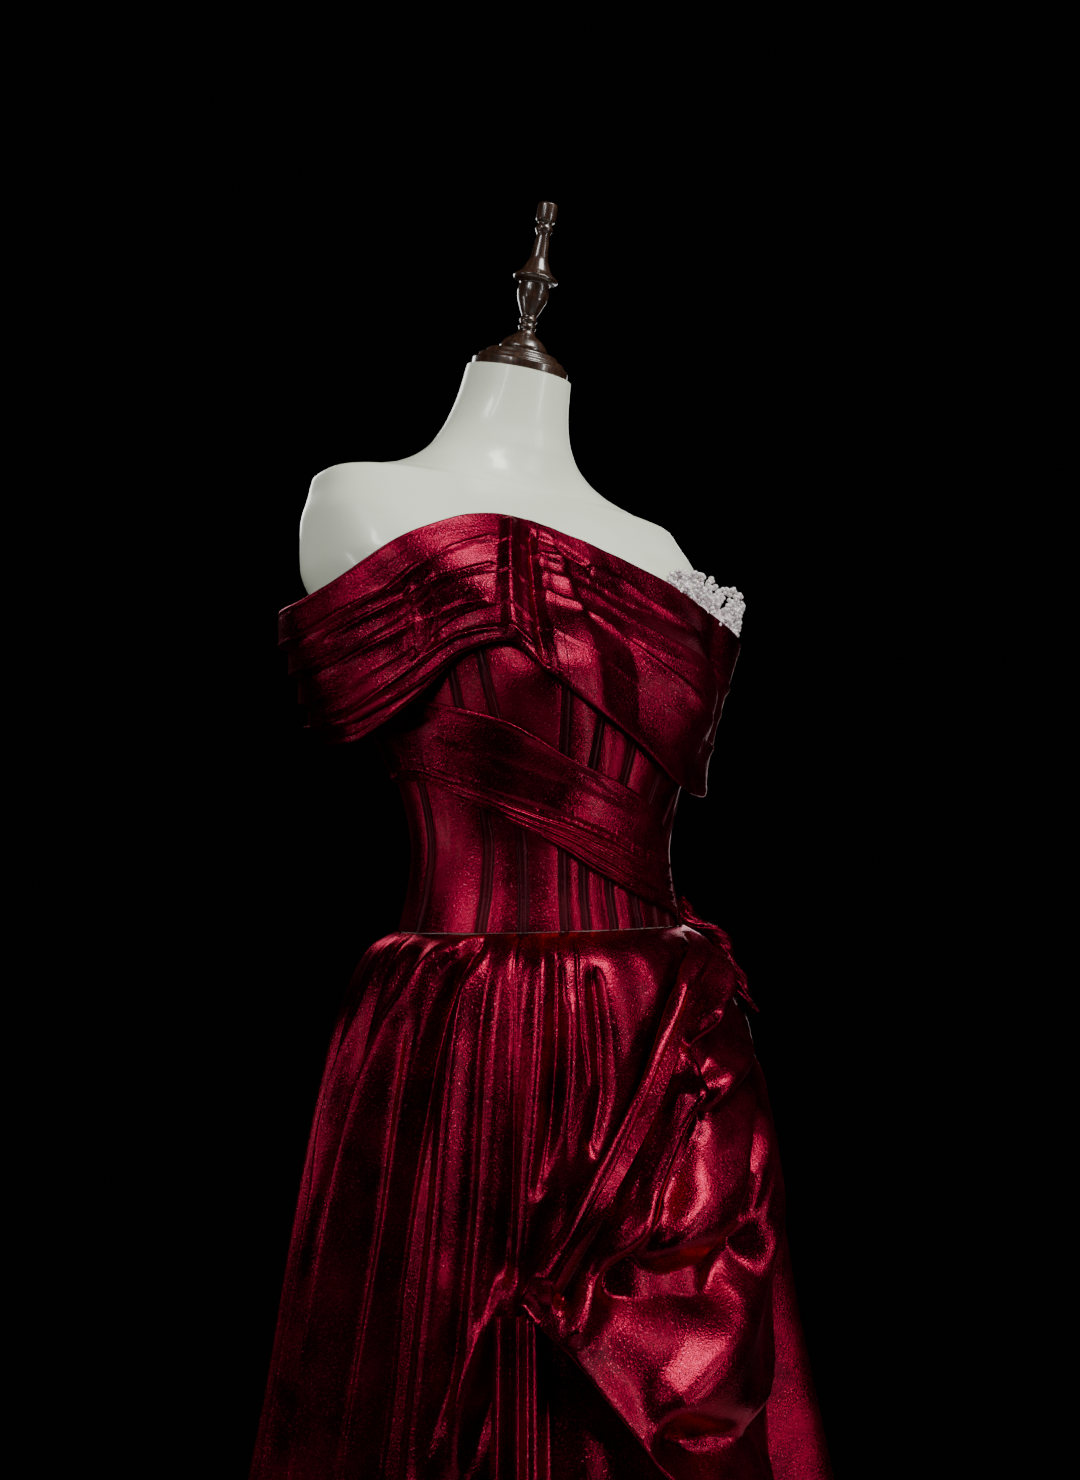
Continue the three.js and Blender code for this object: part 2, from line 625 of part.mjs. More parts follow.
// The end of the drape's folded front edge, which falls straight down beside the set-back front of the skirt.
const CASCADE_TAIL = {
  top: 792, bottom: 330, from: -49.5, to: -41.5, under: -46, clear: 3.4, bulge: 11, columns: 6, rows: 9,
};
const tailFace = (angle, z) => {
  const middle = lerp(CASCADE_TAIL.from, CASCADE_TAIL.to, 0.5);
  const across = (angle - middle) / (CASCADE_TAIL.to - CASCADE_TAIL.from) * 2;
  const proud = CASCADE_TAIL.clear + CASCADE_TAIL.bulge * (1 - across * across);
  return around(angle, skirtRadius(CASCADE_TAIL.under, z) + proud, z);
};
add('drape_front_tail', 'velvet', clothWall(
  tailFace, steps(CASCADE_TAIL.from, CASCADE_TAIL.to, CASCADE_TAIL.columns),
  steps(CASCADE_TAIL.bottom, CASCADE_TAIL.top, CASCADE_TAIL.rows),
));

// The sash's twisted end, which runs from its lower corner over the left hip into the drape.
const SASH_END = rows('angle z off', [
  [46, 1064, 16],
  [49, 1048, 16],
  [52, 1031, 14],
  [54, 1010, 11],
  [55, 988, 11],
  [55, 966, 10],
]);
const TWIST = { wide: 9, thin: 5, atEnds: 0.55, sides: 8, turns: 1.6, steps: 14 };
const sashEndLine = new THREE.CatmullRomCurve3(SASH_END.map(({ angle, z, off }) => {
  const under = z > WAIST ? formRadius(angle, z) : drapeRadius(angle, z);
  return around(angle, under + off, z);
}));
add('sash_end', 'velvet', loft(steps(0, 1, TWIST.steps).map((share) => {
  const middle = sashEndLine.getPointAt(share);
  const along = sashEndLine.getTangentAt(share);
  const across = new THREE.Vector3(middle.y, -middle.x, 0).normalize();
  const away = new THREE.Vector3().crossVectors(across, along).normalize();
  const swell = lerp(TWIST.atEnds, 1, Math.sin(Math.PI * share));
  const spin = 360 * TWIST.turns * share * DEG;
  return steps(0, 360, TWIST.sides).slice(0, -1).map((turn) => {
    const wide = TWIST.wide * swell * Math.cos(turn * DEG);
    const thin = TWIST.thin * swell * Math.sin(turn * DEG);
    return middle.clone()
      .addScaledVector(across, wide * Math.cos(spin) - thin * Math.sin(spin))
      .addScaledVector(away, wide * Math.sin(spin) + thin * Math.cos(spin));
  });
})));

// The off-the-shoulder band: its top and bottom edges round the arms, about an upright axis through them.
const BAND = rows('angle top topRadius bottom bottomRadius', [
  [-180, 1318, 116, 1222, 102],
  [-150, 1316, 133, 1219, 118],
  [-128, 1309, 170, 1214, 142],
  [-110, 1300, 205, 1208, 172],
  [-90, 1295, 218, 1200, 186],
  [-80, 1304, 212, 1200, 190],
  [-70, 1324, 198, 1211, 185],
  [-60, 1349, 172, 1232, 172],
  [-50, 1366, 142, 1252, 169],
  [-40, 1372, 116, 1259, 172],
  [-30, 1372, 103, 1238, 179],
  [-20, 1369, 98, 1216, 176],
  [-10, 1364, 98, 1200, 170],
  [0, 1360, 100, 1186, 162],
  [10, 1355, 103, 1170, 160],
  [20, 1350, 110, 1158, 158],
  [32, 1341, 124, 1151, 159],
  [40, 1332, 140, 1150, 163],
  [50, 1317, 170, 1153, 167],
  [60, 1298, 207, 1160, 169],
  [70, 1291, 221, 1168, 170],
  [80, 1289, 224, 1174, 168],
  [95, 1290, 216, 1182, 162],
  [110, 1295, 205, 1192, 156],
  [130, 1304, 168, 1205, 140],
  [150, 1313, 133, 1215, 118],
  [180, 1318, 116, 1222, 102],
]);
const band = curves(BAND, 'angle');
const BAND_PLEATS = { count: 4, rise: 3, splay: 7, splayAngle: -96, splayHalfAngle: 24 };
const BAND_CLEAR = { overChest: 3.2, overShoulder: 9, overBodice: 9.5, soft: 6, aboveBodice: 40 };
const SHOULDER = { start: 22, full: 40, fade: 128, end: 160 };
const BAND_SEAM = -24;

function bandPoint(turn, v) {
  const angle = turn - 360 * Math.round(turn / 360);
  const z = lerp(band.bottom(angle), band.top(angle), v);
  const straight = lerp(band.bottomRadius(angle), band.topRadius(angle), v);
  const overBodice = 1 - smoothstep(z, BODICE_TOP, BODICE_TOP + BAND_CLEAR.aboveBodice);
  const fromFront = Math.abs(angle);
  const overShoulder = smoothstep(fromFront, SHOULDER.start, SHOULDER.full)
    * (1 - smoothstep(fromFront, SHOULDER.fade, SHOULDER.end));
  const overForm = lerp(BAND_CLEAR.overChest, BAND_CLEAR.overShoulder, overShoulder);
  const clear = lerp(overForm, BAND_CLEAR.overBodice, overBodice);
  const resting = formRadiusFromArmAxis(angle, z) + clear;
  const apart = straight - resting;
  return around(angle, resting + (apart + Math.hypot(apart, BAND_CLEAR.soft)) / 2, z, ARM_AXIS_Y);
}

// Each pleat is proud at its lower fold and dies away under the next one up.
function bandRelief(angle, v) {
  const splay = Math.exp(-(((angle - BAND_PLEATS.splayAngle) / BAND_PLEATS.splayHalfAngle) ** 2));
  const share = (v * BAND_PLEATS.count) % 1;
  return (BAND_PLEATS.rise + BAND_PLEATS.splay * splay) * (v < 1 ? 1 - share : 0);
}
const PLEAT_TURN = 0.1;
const bandRows = steps(0, BAND_PLEATS.count - 1, BAND_PLEATS.count - 1)
  .flatMap((pleat) => [pleat, pleat + 0.5, pleat + 1 - PLEAT_TURN].map((place) => place / BAND_PLEATS.count))
  .slice(0, -1).concat(1);

// Half of each seam's gap, as the angle that it takes up. The band's halves meet less closely at the back.
const SMALLEST_BAND_RADIUS = 100;
const BACK_GAP = 6 * SEAM_GAP;
const [frontTurn, backTurn] = [SEAM_GAP, BACK_GAP].map((gap) => gap / 2 / SMALLEST_BAND_RADIUS / DEG);
add('band_right', 'velvet', clothWall(
  bandPoint, steps(-180 + backTurn, BAND_SEAM - frontTurn, 20), bandRows, CLOTH, bandRelief,
));
add('band_left', 'velvet', clothWall(
  bandPoint, steps(BAND_SEAM + frontTurn, 180 - backTurn, 26), bandRows, CLOTH, bandRelief,
));

// The band's second layer, whose hem shows below the band over the right arm.
const UNDER_BAND = { from: -112, to: -52, top: 0.14, below: 12, inside: 3.4, cloth: 1.2, columns: 10 };
const underBandPoint = (angle, v) => {
  const ends = Math.sin(Math.PI * clamp((angle - UNDER_BAND.from) / (UNDER_BAND.to - UNDER_BAND.from), 0, 1));
  const height = band.top(angle) - band.bottom(angle);
  const share = lerp(-UNDER_BAND.below * ends / height, UNDER_BAND.top, v);
  const point = bandPoint(angle, Math.max(share, 0));
  point.z += Math.min(share, 0) * height;
  const inwards = new THREE.Vector3(-point.x, ARM_AXIS_Y - point.y, 0).normalize();
  return point.addScaledVector(inwards, UNDER_BAND.inside);
};
add('band_under_layer', 'velvet', clothWall(
  underBandPoint, steps(UNDER_BAND.from, UNDER_BAND.to, UNDER_BAND.columns), [0, 0.5, 1],
  UNDER_BAND.cloth,
));

// A frill of round beads on a narrow strip, which stands up behind the band over the left arm.
const TRIM = rows('angle foot top', [
  [38, -14, 6],
  [47, -16, 16],
  [60, -16, 24],
  [76, -16, 26],
  [92, -16, 20],
  [108, -16, 6],
]);
const trim = curves(TRIM, 'angle');
const STRIP = { behind: 8.5, lean: 4, clear: 2.2, cloth: 1.2, columns: 20 };
const BEAD_RISE = 3;
const BEADS_START = 0.4;
const trimPoint = (angle, v) => {
  const z = band.top(angle) + lerp(trim.foot(angle), trim.top(angle), v);
  const share = (z - band.bottom(angle)) / (band.top(angle) - band.bottom(angle));
  const beside = bandPoint(angle, Math.min(share, 1));
  const radius = Math.hypot(beside.x, beside.y - ARM_AXIS_Y) - STRIP.behind + STRIP.lean * v * v;
  return around(angle, Math.max(radius, formRadiusFromArmAxis(angle, z) + STRIP.clear), z, ARM_AXIS_Y);
};
const trimColumns = steps(TRIM[0].angle, TRIM.at(-1).angle, STRIP.columns);
const trimRows = [0, 0.35, 0.5, 0.65, 0.8, 0.92, 1];

// Every second corner of the strip's grid is raised, as a bead.
function beadRelief(angle, v) {
  const column = Math.round((angle - trimColumns[0]) / (trimColumns[1] - trimColumns[0]));
  const row = trimRows.indexOf(v);
  return v < BEADS_START ? 0 : BEAD_RISE * ((column + row) % 2);
}
add('bead_trim', 'beads', clothWall(trimPoint, trimColumns, trimRows, STRIP.cloth, beadRelief));

export default gown;
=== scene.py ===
"""The looks of an off-the-shoulder velvet gown on a limbless dress form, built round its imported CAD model.

Surfaces are grids of points in millimetres, made from the same named tables as the CAD solids, and are
scaled to metres when their meshes are made. Angles go round the +Z axis in degrees: 0 at the front, +90 at
the wearer's left. Folds and creases are soft ridges along lines of places, each an angle and a height.
"""
import math

import bpy
import numpy as np
from mathutils import Matrix, Vector


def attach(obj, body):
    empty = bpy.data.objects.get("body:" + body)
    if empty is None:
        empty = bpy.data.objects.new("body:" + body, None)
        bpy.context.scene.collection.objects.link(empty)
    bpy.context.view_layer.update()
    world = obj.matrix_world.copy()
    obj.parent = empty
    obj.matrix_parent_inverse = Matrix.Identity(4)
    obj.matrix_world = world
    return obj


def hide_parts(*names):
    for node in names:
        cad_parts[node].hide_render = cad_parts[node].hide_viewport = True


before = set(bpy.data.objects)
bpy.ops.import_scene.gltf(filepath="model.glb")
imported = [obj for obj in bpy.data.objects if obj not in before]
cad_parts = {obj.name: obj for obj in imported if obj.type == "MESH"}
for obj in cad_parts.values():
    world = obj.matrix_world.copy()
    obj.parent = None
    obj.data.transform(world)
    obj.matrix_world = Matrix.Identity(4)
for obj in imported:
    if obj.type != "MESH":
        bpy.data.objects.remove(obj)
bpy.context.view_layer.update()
MM = 0.001


# The camera stands level with the waist in front of the wearer's right side and looks a little up.
CAMERA_PLACE = (-0.64312, -0.81667, 1.0757)
CAMERA_RIGHT = (0.78799568, -0.61553986, -0.01317108)
CAMERA_UP = (-0.06248147, -0.10123257, 0.9928988)
CAMERA_AHEAD = (0.61250214, 0.78157702, 0.11823066)
FOCAL_IN_PICTURE_PIXELS = 1217.17
PICTURE_HEIGHT = 1480
SENSOR_MM = 36


def make_camera():
    """The picture's camera at its fitted place, with its lens worked out from the picture's pixels."""
    camera = bpy.data.objects.new("camera", bpy.data.cameras.new("camera"))
    axes = np.array([CAMERA_RIGHT, CAMERA_UP, [-a for a in CAMERA_AHEAD]]).T
    turn = Matrix(axes.tolist()).to_4x4()
    camera.matrix_world = Matrix.Translation(CAMERA_PLACE) @ turn
    camera.data.sensor_width = SENSOR_MM
    camera.data.sensor_fit = "AUTO"
    camera.data.lens = FOCAL_IN_PICTURE_PIXELS * SENSOR_MM / PICTURE_HEIGHT
    camera.data.clip_start = 0.05
    bpy.context.scene.collection.objects.link(camera)
    bpy.context.scene.camera = camera


make_camera()


def table(columns, values):
    """Rows of numbers as one array for each named column."""
    return dict(zip(columns.split(), np.array(values, float).T))


def curve(columns, along, name):
    """A smooth curve through two columns: a cubic between neighbours, whose slope at each value is the
    harmonic mean of the slopes on its two sides, and zero at a peak, so it never swings past a value."""
    x, y = columns[along], columns[name]
    rise = np.diff(y) / np.diff(x)
    before, after = np.r_[rise[0], rise], np.r_[rise, rise[-1]]
    same = before * after > 0
    slope = np.where(same, 2 * before * after / np.where(same, before + after, 1), 0)

    def at(value):
        t = np.clip(value, x[0], x[-1])
        i = np.clip(np.searchsorted(x, t) - 1, 0, len(x) - 2)
        span = x[i + 1] - x[i]
        s = (t - x[i]) / span
        start = y[i] * (1 + 2 * s) * (1 - s) ** 2 + slope[i] * span * s * (1 - s) ** 2
        return start + y[i + 1] * s * s * (3 - 2 * s) - slope[i + 1] * span * s * s * (1 - s)
    return at


def curves(columns, along):
    """Every column of a table as its own curve against one of them."""
    return {name: curve(columns, along, name) for name in columns if name != along}


def smooth(value, start, end):
    """0 before start, 1 after end and an S-shaped way between them."""
    s = np.clip((value - start) / (end - start), 0, 1)
    return s * s * (3 - 2 * s)


def bump(value, middle, half):
    """A bell of height 1 round the middle, down to 1/e at half its width on each side."""
    return np.exp(-(((value - middle) / half) ** 2))


def lerp(a, b, share):
    """The value that lies a share of the way from a to b."""
    return a + (b - a) * share


def around(angle, radius, z, axis_y=0.0):
    """Points at an angle and a radius from an upright axis."""
    turn = np.radians(angle)
    x, y, z = np.broadcast_arrays(radius * np.sin(turn), axis_y - radius * np.cos(turn), z)
    return np.stack([x, y, z], -1)


def ripple(a, b, seed):
    """Uneven waves between about -1 and 1: a sum of sines of a and b with unrelated lengths and phases."""
    total = 0
    for k in range(1, 5):
        phase = 2.3 * k * seed + 1.7 * k
        total = total + np.sin(a * (0.6 + 0.53 * k) + b * (0.9 - 0.31 * k) + phase) / (1 + 0.4 * k)
    return total / 2.2


# The dress form's sections: half its width, its depth in front and behind, and how square and tilted it is.
FORM = table("z y side front back roundness tilt", [
    [700, 14, 152, 88, 104, 2.2, 0],
    [760, 14, 165, 100, 116, 2.2, 0],
    [830, 12, 171, 106, 122, 2.2, 0],
    [900, 9, 165, 102, 118, 2.2, 0],
    [970, 4, 149, 94, 104, 2.15, 0],
    [1040, 0, 128, 87, 93, 2.1, 0],
    [1075, 0, 119, 81, 88, 2.1, 0],
    [1105, 0, 115.5, 82, 86, 2.1, 0],
    [1125, 2, 117, 90, 86, 2.1, 0],
    [1150, 5, 121.5, 102, 88, 2.1, 0],
    [1175, 8, 128, 113, 92, 2.15, 0],
    [1200, 12, 135, 121, 102, 2.2, 0],
    [1240, 20, 142, 128, 107, 2.2, 0],
    [1275, 28, 150, 125, 106, 2.4, 0],
    [1310, 36, 182, 114, 101, 2.8, 0],
    [1340, 42, 195, 105, 92, 3, 0],
    [1375, 45, 197, 86, 78, 3, 0],
    [1398, 48, 191, 72, 68, 3, 0],
    [1414, 50, 187, 62, 60, 3, 1],
    [1425, 52, 155, 58, 57, 2.5, 4],
    [1438, 53, 116, 57, 57, 2.2, 6],
    [1452, 52, 90, 57, 57, 2, 9],
    [1468, 50, 71, 57, 57, 2, 13],
    [1490, 44, 58, 53, 53, 2, 17],
    [1514, 36, 51, 50, 50, 2, 18],
    [1537, 28, 48, 48, 48, 2, 18],
])
BUST = {"angle": 31, "half_angle": 21, "z": 1238, "half_height": 42, "depth": 20}
SEAM_GAP = 0.3
FORM_BOTTOM = 700
WAIST = 1040
BODICE_TOP = 1262
NECK_TOP = 1537
ARM_AXIS_Y = 40
form = curves(FORM, "z")


def form_radius(angle, z):
    """A superellipse section, and a bell over each bust point."""
    turn = np.radians(angle)
    depth = np.where(np.cos(turn) > 0, form["front"](z), form["back"](z))
    power = form["roundness"](z)
    side = np.abs(np.sin(turn)) / form["side"](z)
    oval = (side ** power + (np.abs(np.cos(turn)) / depth) ** power) ** (-1 / power)
    return oval + BUST["depth"] * bump(np.abs(angle), BUST["angle"], BUST["half_angle"]) * bump(
        z, BUST["z"], BUST["half_height"])


def form_point(angle, z, off=0.0):
    """A point of the form's section, or off it, with the section tilted about its own middle."""
    radius = form_radius(angle, z) + off
    lean, turn = np.radians(form["tilt"](z)), np.radians(angle)
    forward = radius * np.cos(turn)
    x, y, up = np.broadcast_arrays(
        radius * np.sin(turn), form["y"](z) - forward * np.cos(lean), z - forward * np.sin(lean))
    return np.stack([x, y, up], -1)


def form_radius_from_arm_axis(angle, z):
    """The form's radius in one direction about the band's upright axis, found by five corrections."""
    turn = angle + 0.0 * z
    for _ in range(5):
        p = form_point(turn, z)
        turn = turn + angle - np.degrees(np.arctan2(p[..., 0], ARM_AXIS_Y - p[..., 1]))
    p = form_point(turn, z)
    return np.hypot(p[..., 0], p[..., 1] - ARM_AXIS_Y)


# The bodice seams: the angle of each at the waist, the middle and the top.
SEAMS = table("waist middle top", [
    [-180, -180, -180], [-150, -150, -150], [-119, -119, -119], [-88, -86, -86], [-62.6, -60.3, -61],
    [-47.2, -48, -51], [-28.9, -29, -26], [-18, -18, -11], [-1, -0.5, 4], [16.6, 20.5, 23], [30.5, 41.5, 50],
    [41.5, 56, 66], [63, 75, 82], [90, 95, 98], [119, 119, 119], [150, 150, 150], [180, 180, 180],
])
SEAM_MIDDLE = 1140


def seam_angle(index, z):
    """Two straight lines on the unrolled bodice: waist to middle, and middle to top."""
    low = lerp(SEAMS["waist"][index], SEAMS["middle"][index], (z - WAIST) / (SEAM_MIDDLE - WAIST))
    high = lerp(
        SEAMS["middle"][index], SEAMS["top"][index], (z - SEAM_MIDDLE) / (BODICE_TOP - SEAM_MIDDLE))
    return np.where(z < SEAM_MIDDLE, low, high)


# The sash round the bodice: its top edge, the pressed fold between its two parts and its lowest pleat.
SASH = table("angle top middle low", [
    [-118, 1230, 1170, 1163],
    [-84, 1225, 1165, 1157],
    [-70, 1216, 1154, 1144],
    [-60, 1209, 1146, 1135],
    [-48, 1199, 1135, 1121],
    [-38, 1186, 1128, 1111],
    [-28, 1172, 1123, 1101],
    [-14, 1161, 1115, 1087],
    [0, 1152, 1108, 1077],
    [12, 1143, 1101, 1069],
    [28, 1130, 1094, 1060],
    [46, 1108, 1083, 1049],
])
sash = curves(SASH, "angle")

# The skirt's sections, and how deep its main folds are at each height.
SKIRT = table("z side front back fold", [
    [8, 352, 332, 398, 24],
    [150, 324, 302, 344, 19],
    [300, 294, 272, 296, 15],
    [450, 264, 242, 254, 12],
    [604, 236, 212, 220, 10],
    [719, 217, 188, 200, 8],
    [797, 207, 174, 186, 7],
    [892, 192, 160, 170, 5.5],
    [949, 180, 148, 158, 4.5],
    [982, 172, 138, 148, 3.5],
    [1015, 160, 124, 135, 2.6],
    [1030, 150, 110, 119, 2],
    [1040, 133.6, 92.6, 98.6, 1],
])
skirt = curves(SKIRT, "z")
# The angle of each main fold's ridge at four heights, and its share of the folds' depth.
FOLD_HEIGHTS = [8, 690, 866, 1040]
FOLDS = table("hem low hip waist share", [
    [-173, -173, -173, -173, 1],
    [-160, -160, -160, -160, 0.8],
    [-146, -147, -147, -147, 1.1],
    [-133, -134, -134, -134, 0.8],
    [-121, -121, -121, -122, 1],
    [-111, -111, -109, -110, 0.8],
    [-101, -102, -97, -98, 1],
    [-89, -88, -84, -84, 0.9],
    [-76, -75, -71.5, -70, 1],
    [-63, -62.4, -61, -61.5, 0.8],
    [-54, -54.5, -52, -53, 0.6],
    [-45, -46, -42.7, -38.5, 1.1],
    [-32, -33, -33, -31, 0.5],
    [-16, -17, -16, -15, 0.4],
    [2, 2, 2, 2, 0.4],
    [18, 18, 18, 18, 0.35],
    [35, 35, 35, 34, 0.35],
    [51, 51, 50, 50, 0.4],
    [70, 70, 68, 66, 1.3],
    [85, 84, 82, 80, 0.9],
    [99, 98, 96, 94, 1.1],
    [112, 111, 109, 108, 0.8],
    [124, 123, 122, 122, 1],
    [136, 135, 134, 134, 0.8],
    [148, 147, 147, 147, 1.1],
    [160, 160, 160, 160, 0.8],
    [173, 173, 173, 173, 1],
])
FOLD_COUNT = len(FOLDS["hem"])
FOLD_LINES = [
    curve({"z": np.array(FOLD_HEIGHTS, float), "angle": angles}, "z", "angle")
    for angles in np.stack([FOLDS[name] for name in ("hem", "low", "hip", "waist")], -1)]


def ridge_angles(z):
    """Every fold ridge's angle at each height, with one ridge more before the first and after the last."""
    lines = [line(z) for line in FOLD_LINES]
    return np.stack([lines[-1] - 360, *lines, lines[0] + 360], -1)


RIDGE_SHARES = np.r_[FOLDS["share"][-1], FOLDS["share"], FOLDS["share"][0]]


def ridges_beside(i, z):
    """The angles of ridge i and of the next one."""
    ridges = ridge_angles(z)
    return [np.take_along_axis(ridges, i[..., None] + step, -1)[..., 0] for step in (0, 1)]


def fold_angle(place, z):
    """The angle of a place counted in folds: a whole number is a ridge, halfway between two is a trough."""
    place, z = np.broadcast_arrays(place, z)
    i = np.clip(np.floor(place).astype(int) + 1, 0, FOLD_COUNT)
    return lerp(*ridges_beside(i, z), place + 1 - i)


def fold_place(angle, z):
    """The place, counted in folds, of an angle: fold_angle turned round."""
    angle, z = np.broadcast_arrays(angle, z)
    i = np.clip((ridge_angles(z) <= angle[..., None]).sum(-1) - 1, 0, FOLD_COUNT)
    start, end = ridges_beside(i, z)
    return i - 1 + (angle - start) / (end - start)


def skirt_oval(angle, z):
    """The skirt's plain section: half an ellipse in front and half a deeper one behind."""
    turn = np.radians(angle)
    depth = np.where(np.cos(turn) > 0, skirt["front"](z), skirt["back"](z))
    return 1 / np.hypot(np.sin(turn) / skirt["side"](z), np.cos(turn) / depth)


# The line where the drape's front edge lies, how far the skirt is set back behind the drape, and how far both
# are pulled in.
CASCADE = table("z angle", [
    [8, -44], [698, -45.3], [790, -45.5], [808, -43.5], [832, -39], [856, -34], [892, -26], [937, -16],
    [969, -8], [1006, 5], [1040, 28.6],
])
cascade = curve(CASCADE, "z", "angle")
INSET = table("z set pull", [
    [8, 14, 26], [300, 18, 46], [450, 20, 54], [600, 20, 54], [660, 20, 46], [737, 20, 28], [816, 15, 7],
    [866, 11, 1], [930, 8, 0], [985, 5, 0], [1022, 2, 0], [1040, 0, 0],
])
inset = curves(INSET, "z")


def drawn_in(angle, z):
    """How far the drape and the skirt under it are drawn in towards the left hip."""
    share = smooth(angle, 0, 46) * (1 - smooth(angle, 56, 68))
    return inset["pull"](z) * share + 8 * bump(angle, 52, 13) * bump(z, 1000, 34)


def skirt_radius(angle, z, place=None):
    """The oval section with its main folds, set back behind the drape."""
    place = fold_place(angle, z) if place is None else place
    i = np.clip(np.floor(place).astype(int) + 1, 0, FOLD_COUNT)
    share = lerp(RIDGE_SHARES[i], RIDGE_SHARES[i + 1], place + 1 - i)
    wave = 0.1 + 0.5 * np.cos(2 * np.pi * place)
    edge = cascade(z)
    set_back = inset["set"](z) * smooth(angle, edge + 2, edge + 7) * (1 - smooth(angle, 54, 66))
    return skirt_oval(angle, z) + skirt["fold"](z) * share * wave - set_back - drawn_in(angle, z)


UNROLL_RADIUS = 185


def crease_lift(creases, angle, z, unroll=UNROLL_RADIUS):
    """The height that a list of creases adds. Each is (rise, half width, lean, line of places). Its lift is a
    bell across the line on the unrolled cloth, wider on one side of the line by its lean and narrower on the
    other."""
    x = np.radians(angle) * unroll
    lift = 0.0 * (x + z)
    for rise, half, lean, line in creases:
        spots = np.array(line, float)
        spots[:, 0] = np.radians(spots[:, 0]) * unroll
        nearest = np.full(lift.shape, np.inf)
        side = np.zeros(lift.shape)
        for (ax, az), (bx, bz) in zip(spots[:-1], spots[1:]):
            dx, dz = bx - ax, bz - az
            t = np.clip(((x - ax) * dx + (z - az) * dz) / (dx * dx + dz * dz), 0, 1)
            ex, ez = x - ax - t * dx, z - az - t * dz
            distance = np.hypot(ex, ez)
            closer = distance < nearest
            nearest = np.where(closer, distance, nearest)
            side = np.where(closer, (dx * ez - dz * ex) / (math.hypot(dx, dz) * half), side)
        width = half * (1 + lean * np.tanh(1.5 * side))
        lift = lift + rise * np.exp(-((nearest / width) ** 2))
    return lift


# The hip drape's outline on the skirt, as places of an angle and a height.
DRAPE_EDGES = {
    "top": [[28.6, 1037], [50, 1037]],
    "left": [[28.6, 1037], [5, 1006], [-8, 969], [-16, 937], [-26, 892], [-34, 856], [-39, 832], [-44, 800]],
    "bottom": [[-44, 800], [-34, 768], [-26, 734], [-17, 694], [-4, 648], [12, 606], [32, 574], [56, 560]],
    "right": [[50, 1037], [55, 1000], [57, 950], [58, 880], [58, 800], [57, 700], [56, 560]],
}


def along_edge(line):
    """Evenly spaced places along one edge of the drape, for a share from 0 to 1."""
    spots = np.array(line, float)
    flat = spots * [math.radians(UNROLL_RADIUS), 1]
    length = np.r_[0, np.cumsum(np.hypot(*np.diff(flat, axis=0).T))]
    columns = {"s": length / length[-1], "angle": spots[:, 0], "z": spots[:, 1]}
    return curve(columns, "s", "angle"), curve(columns, "s", "z")


edges = {name: along_edge(line) for name, line in DRAPE_EDGES.items()}


def drape_place(u, v):
    """The place between the drape's four edges, u across it and v down it, by blending opposite edges."""
    found = []
    for k in (0, 1):
        top, left, bottom, right = (edges[name][k] for name in ("top", "left", "bottom", "right"))
        sides = (1 - v) * top(u) + v * bottom(u) + (1 - u) * left(v) + u * right(v)
        corners = (1 - u) * ((1 - v) * top(0) + v * bottom(0)) + u * ((1 - v) * top(1) + v * bottom(1))
        found.append(sides - corners)
    return found


# The shoulder band's upper and lower edge, each a height and a radius about the band's own upright axis.
BAND = table("angle top top_radius bottom bottom_radius", [
    [-180, 1318, 116, 1222, 102],
    [-150, 1316, 133, 1219, 118],
    [-128, 1309, 170, 1214, 142],
    [-110, 1300, 205, 1208, 172],
    [-90, 1295, 218, 1200, 186],
    [-80, 1304, 212, 1200, 190],
    [-70, 1324, 198, 1211, 185],
    [-60, 1349, 172, 1232, 172],
    [-50, 1366, 142, 1252, 169],
    [-40, 1372, 116, 1259, 172],
    [-30, 1372, 103, 1238, 179],
    [-20, 1369, 98, 1216, 176],
    [-10, 1364, 98, 1200, 170],
    [0, 1360, 100, 1186, 162],
    [10, 1355, 103, 1170, 160],
    [20, 1350, 110, 1158, 158],
    [32, 1341, 124, 1151, 159],
    [40, 1332, 140, 1150, 163],
    [50, 1317, 170, 1153, 167],
    [60, 1298, 207, 1160, 169],
    [70, 1291, 221, 1168, 170],
    [80, 1289, 224, 1174, 168],
    [95, 1290, 216, 1182, 162],
    [110, 1295, 205, 1192, 156],
    [130, 1304, 168, 1205, 140],
    [150, 1313, 133, 1215, 118],
    [180, 1318, 116, 1222, 102],
])
band = curves(BAND, "angle")


def band_point(angle, v):
    """A straight line from the band's lower edge to its upper one, eased out to lie on the form and the
    bodice where they are in its way."""
    z = lerp(band["bottom"](angle), band["top"](angle), v)
    straight = lerp(band["bottom_radius"](angle), band["top_radius"](angle), v)
    over_bodice = 1 - smooth(z, BODICE_TOP, BODICE_TOP + 40)
    from_front = np.abs(angle)
    over_shoulder = smooth(from_front, 22, 40) * (1 - smooth(from_front, 128, 160))
    clear = lerp(lerp(3.2, 9, over_shoulder), 9.5, over_bodice)
    resting = form_radius_from_arm_axis(angle, z) + clear
    apart = straight - resting
    return around(angle, resting + (apart + np.hypot(apart, 6)) / 2, z, ARM_AXIS_Y)


def linear(hex_colour):
    """A screen colour such as '#8c0a1f' as linear light."""
    parts = [int(hex_colour[i:i + 2], 16) / 255 for i in (1, 3, 5)]
    return (*[c / 12.92 if c <= 0.04045 else ((c + 0.055) / 1.055) ** 2.4 for c in parts], 1.0)


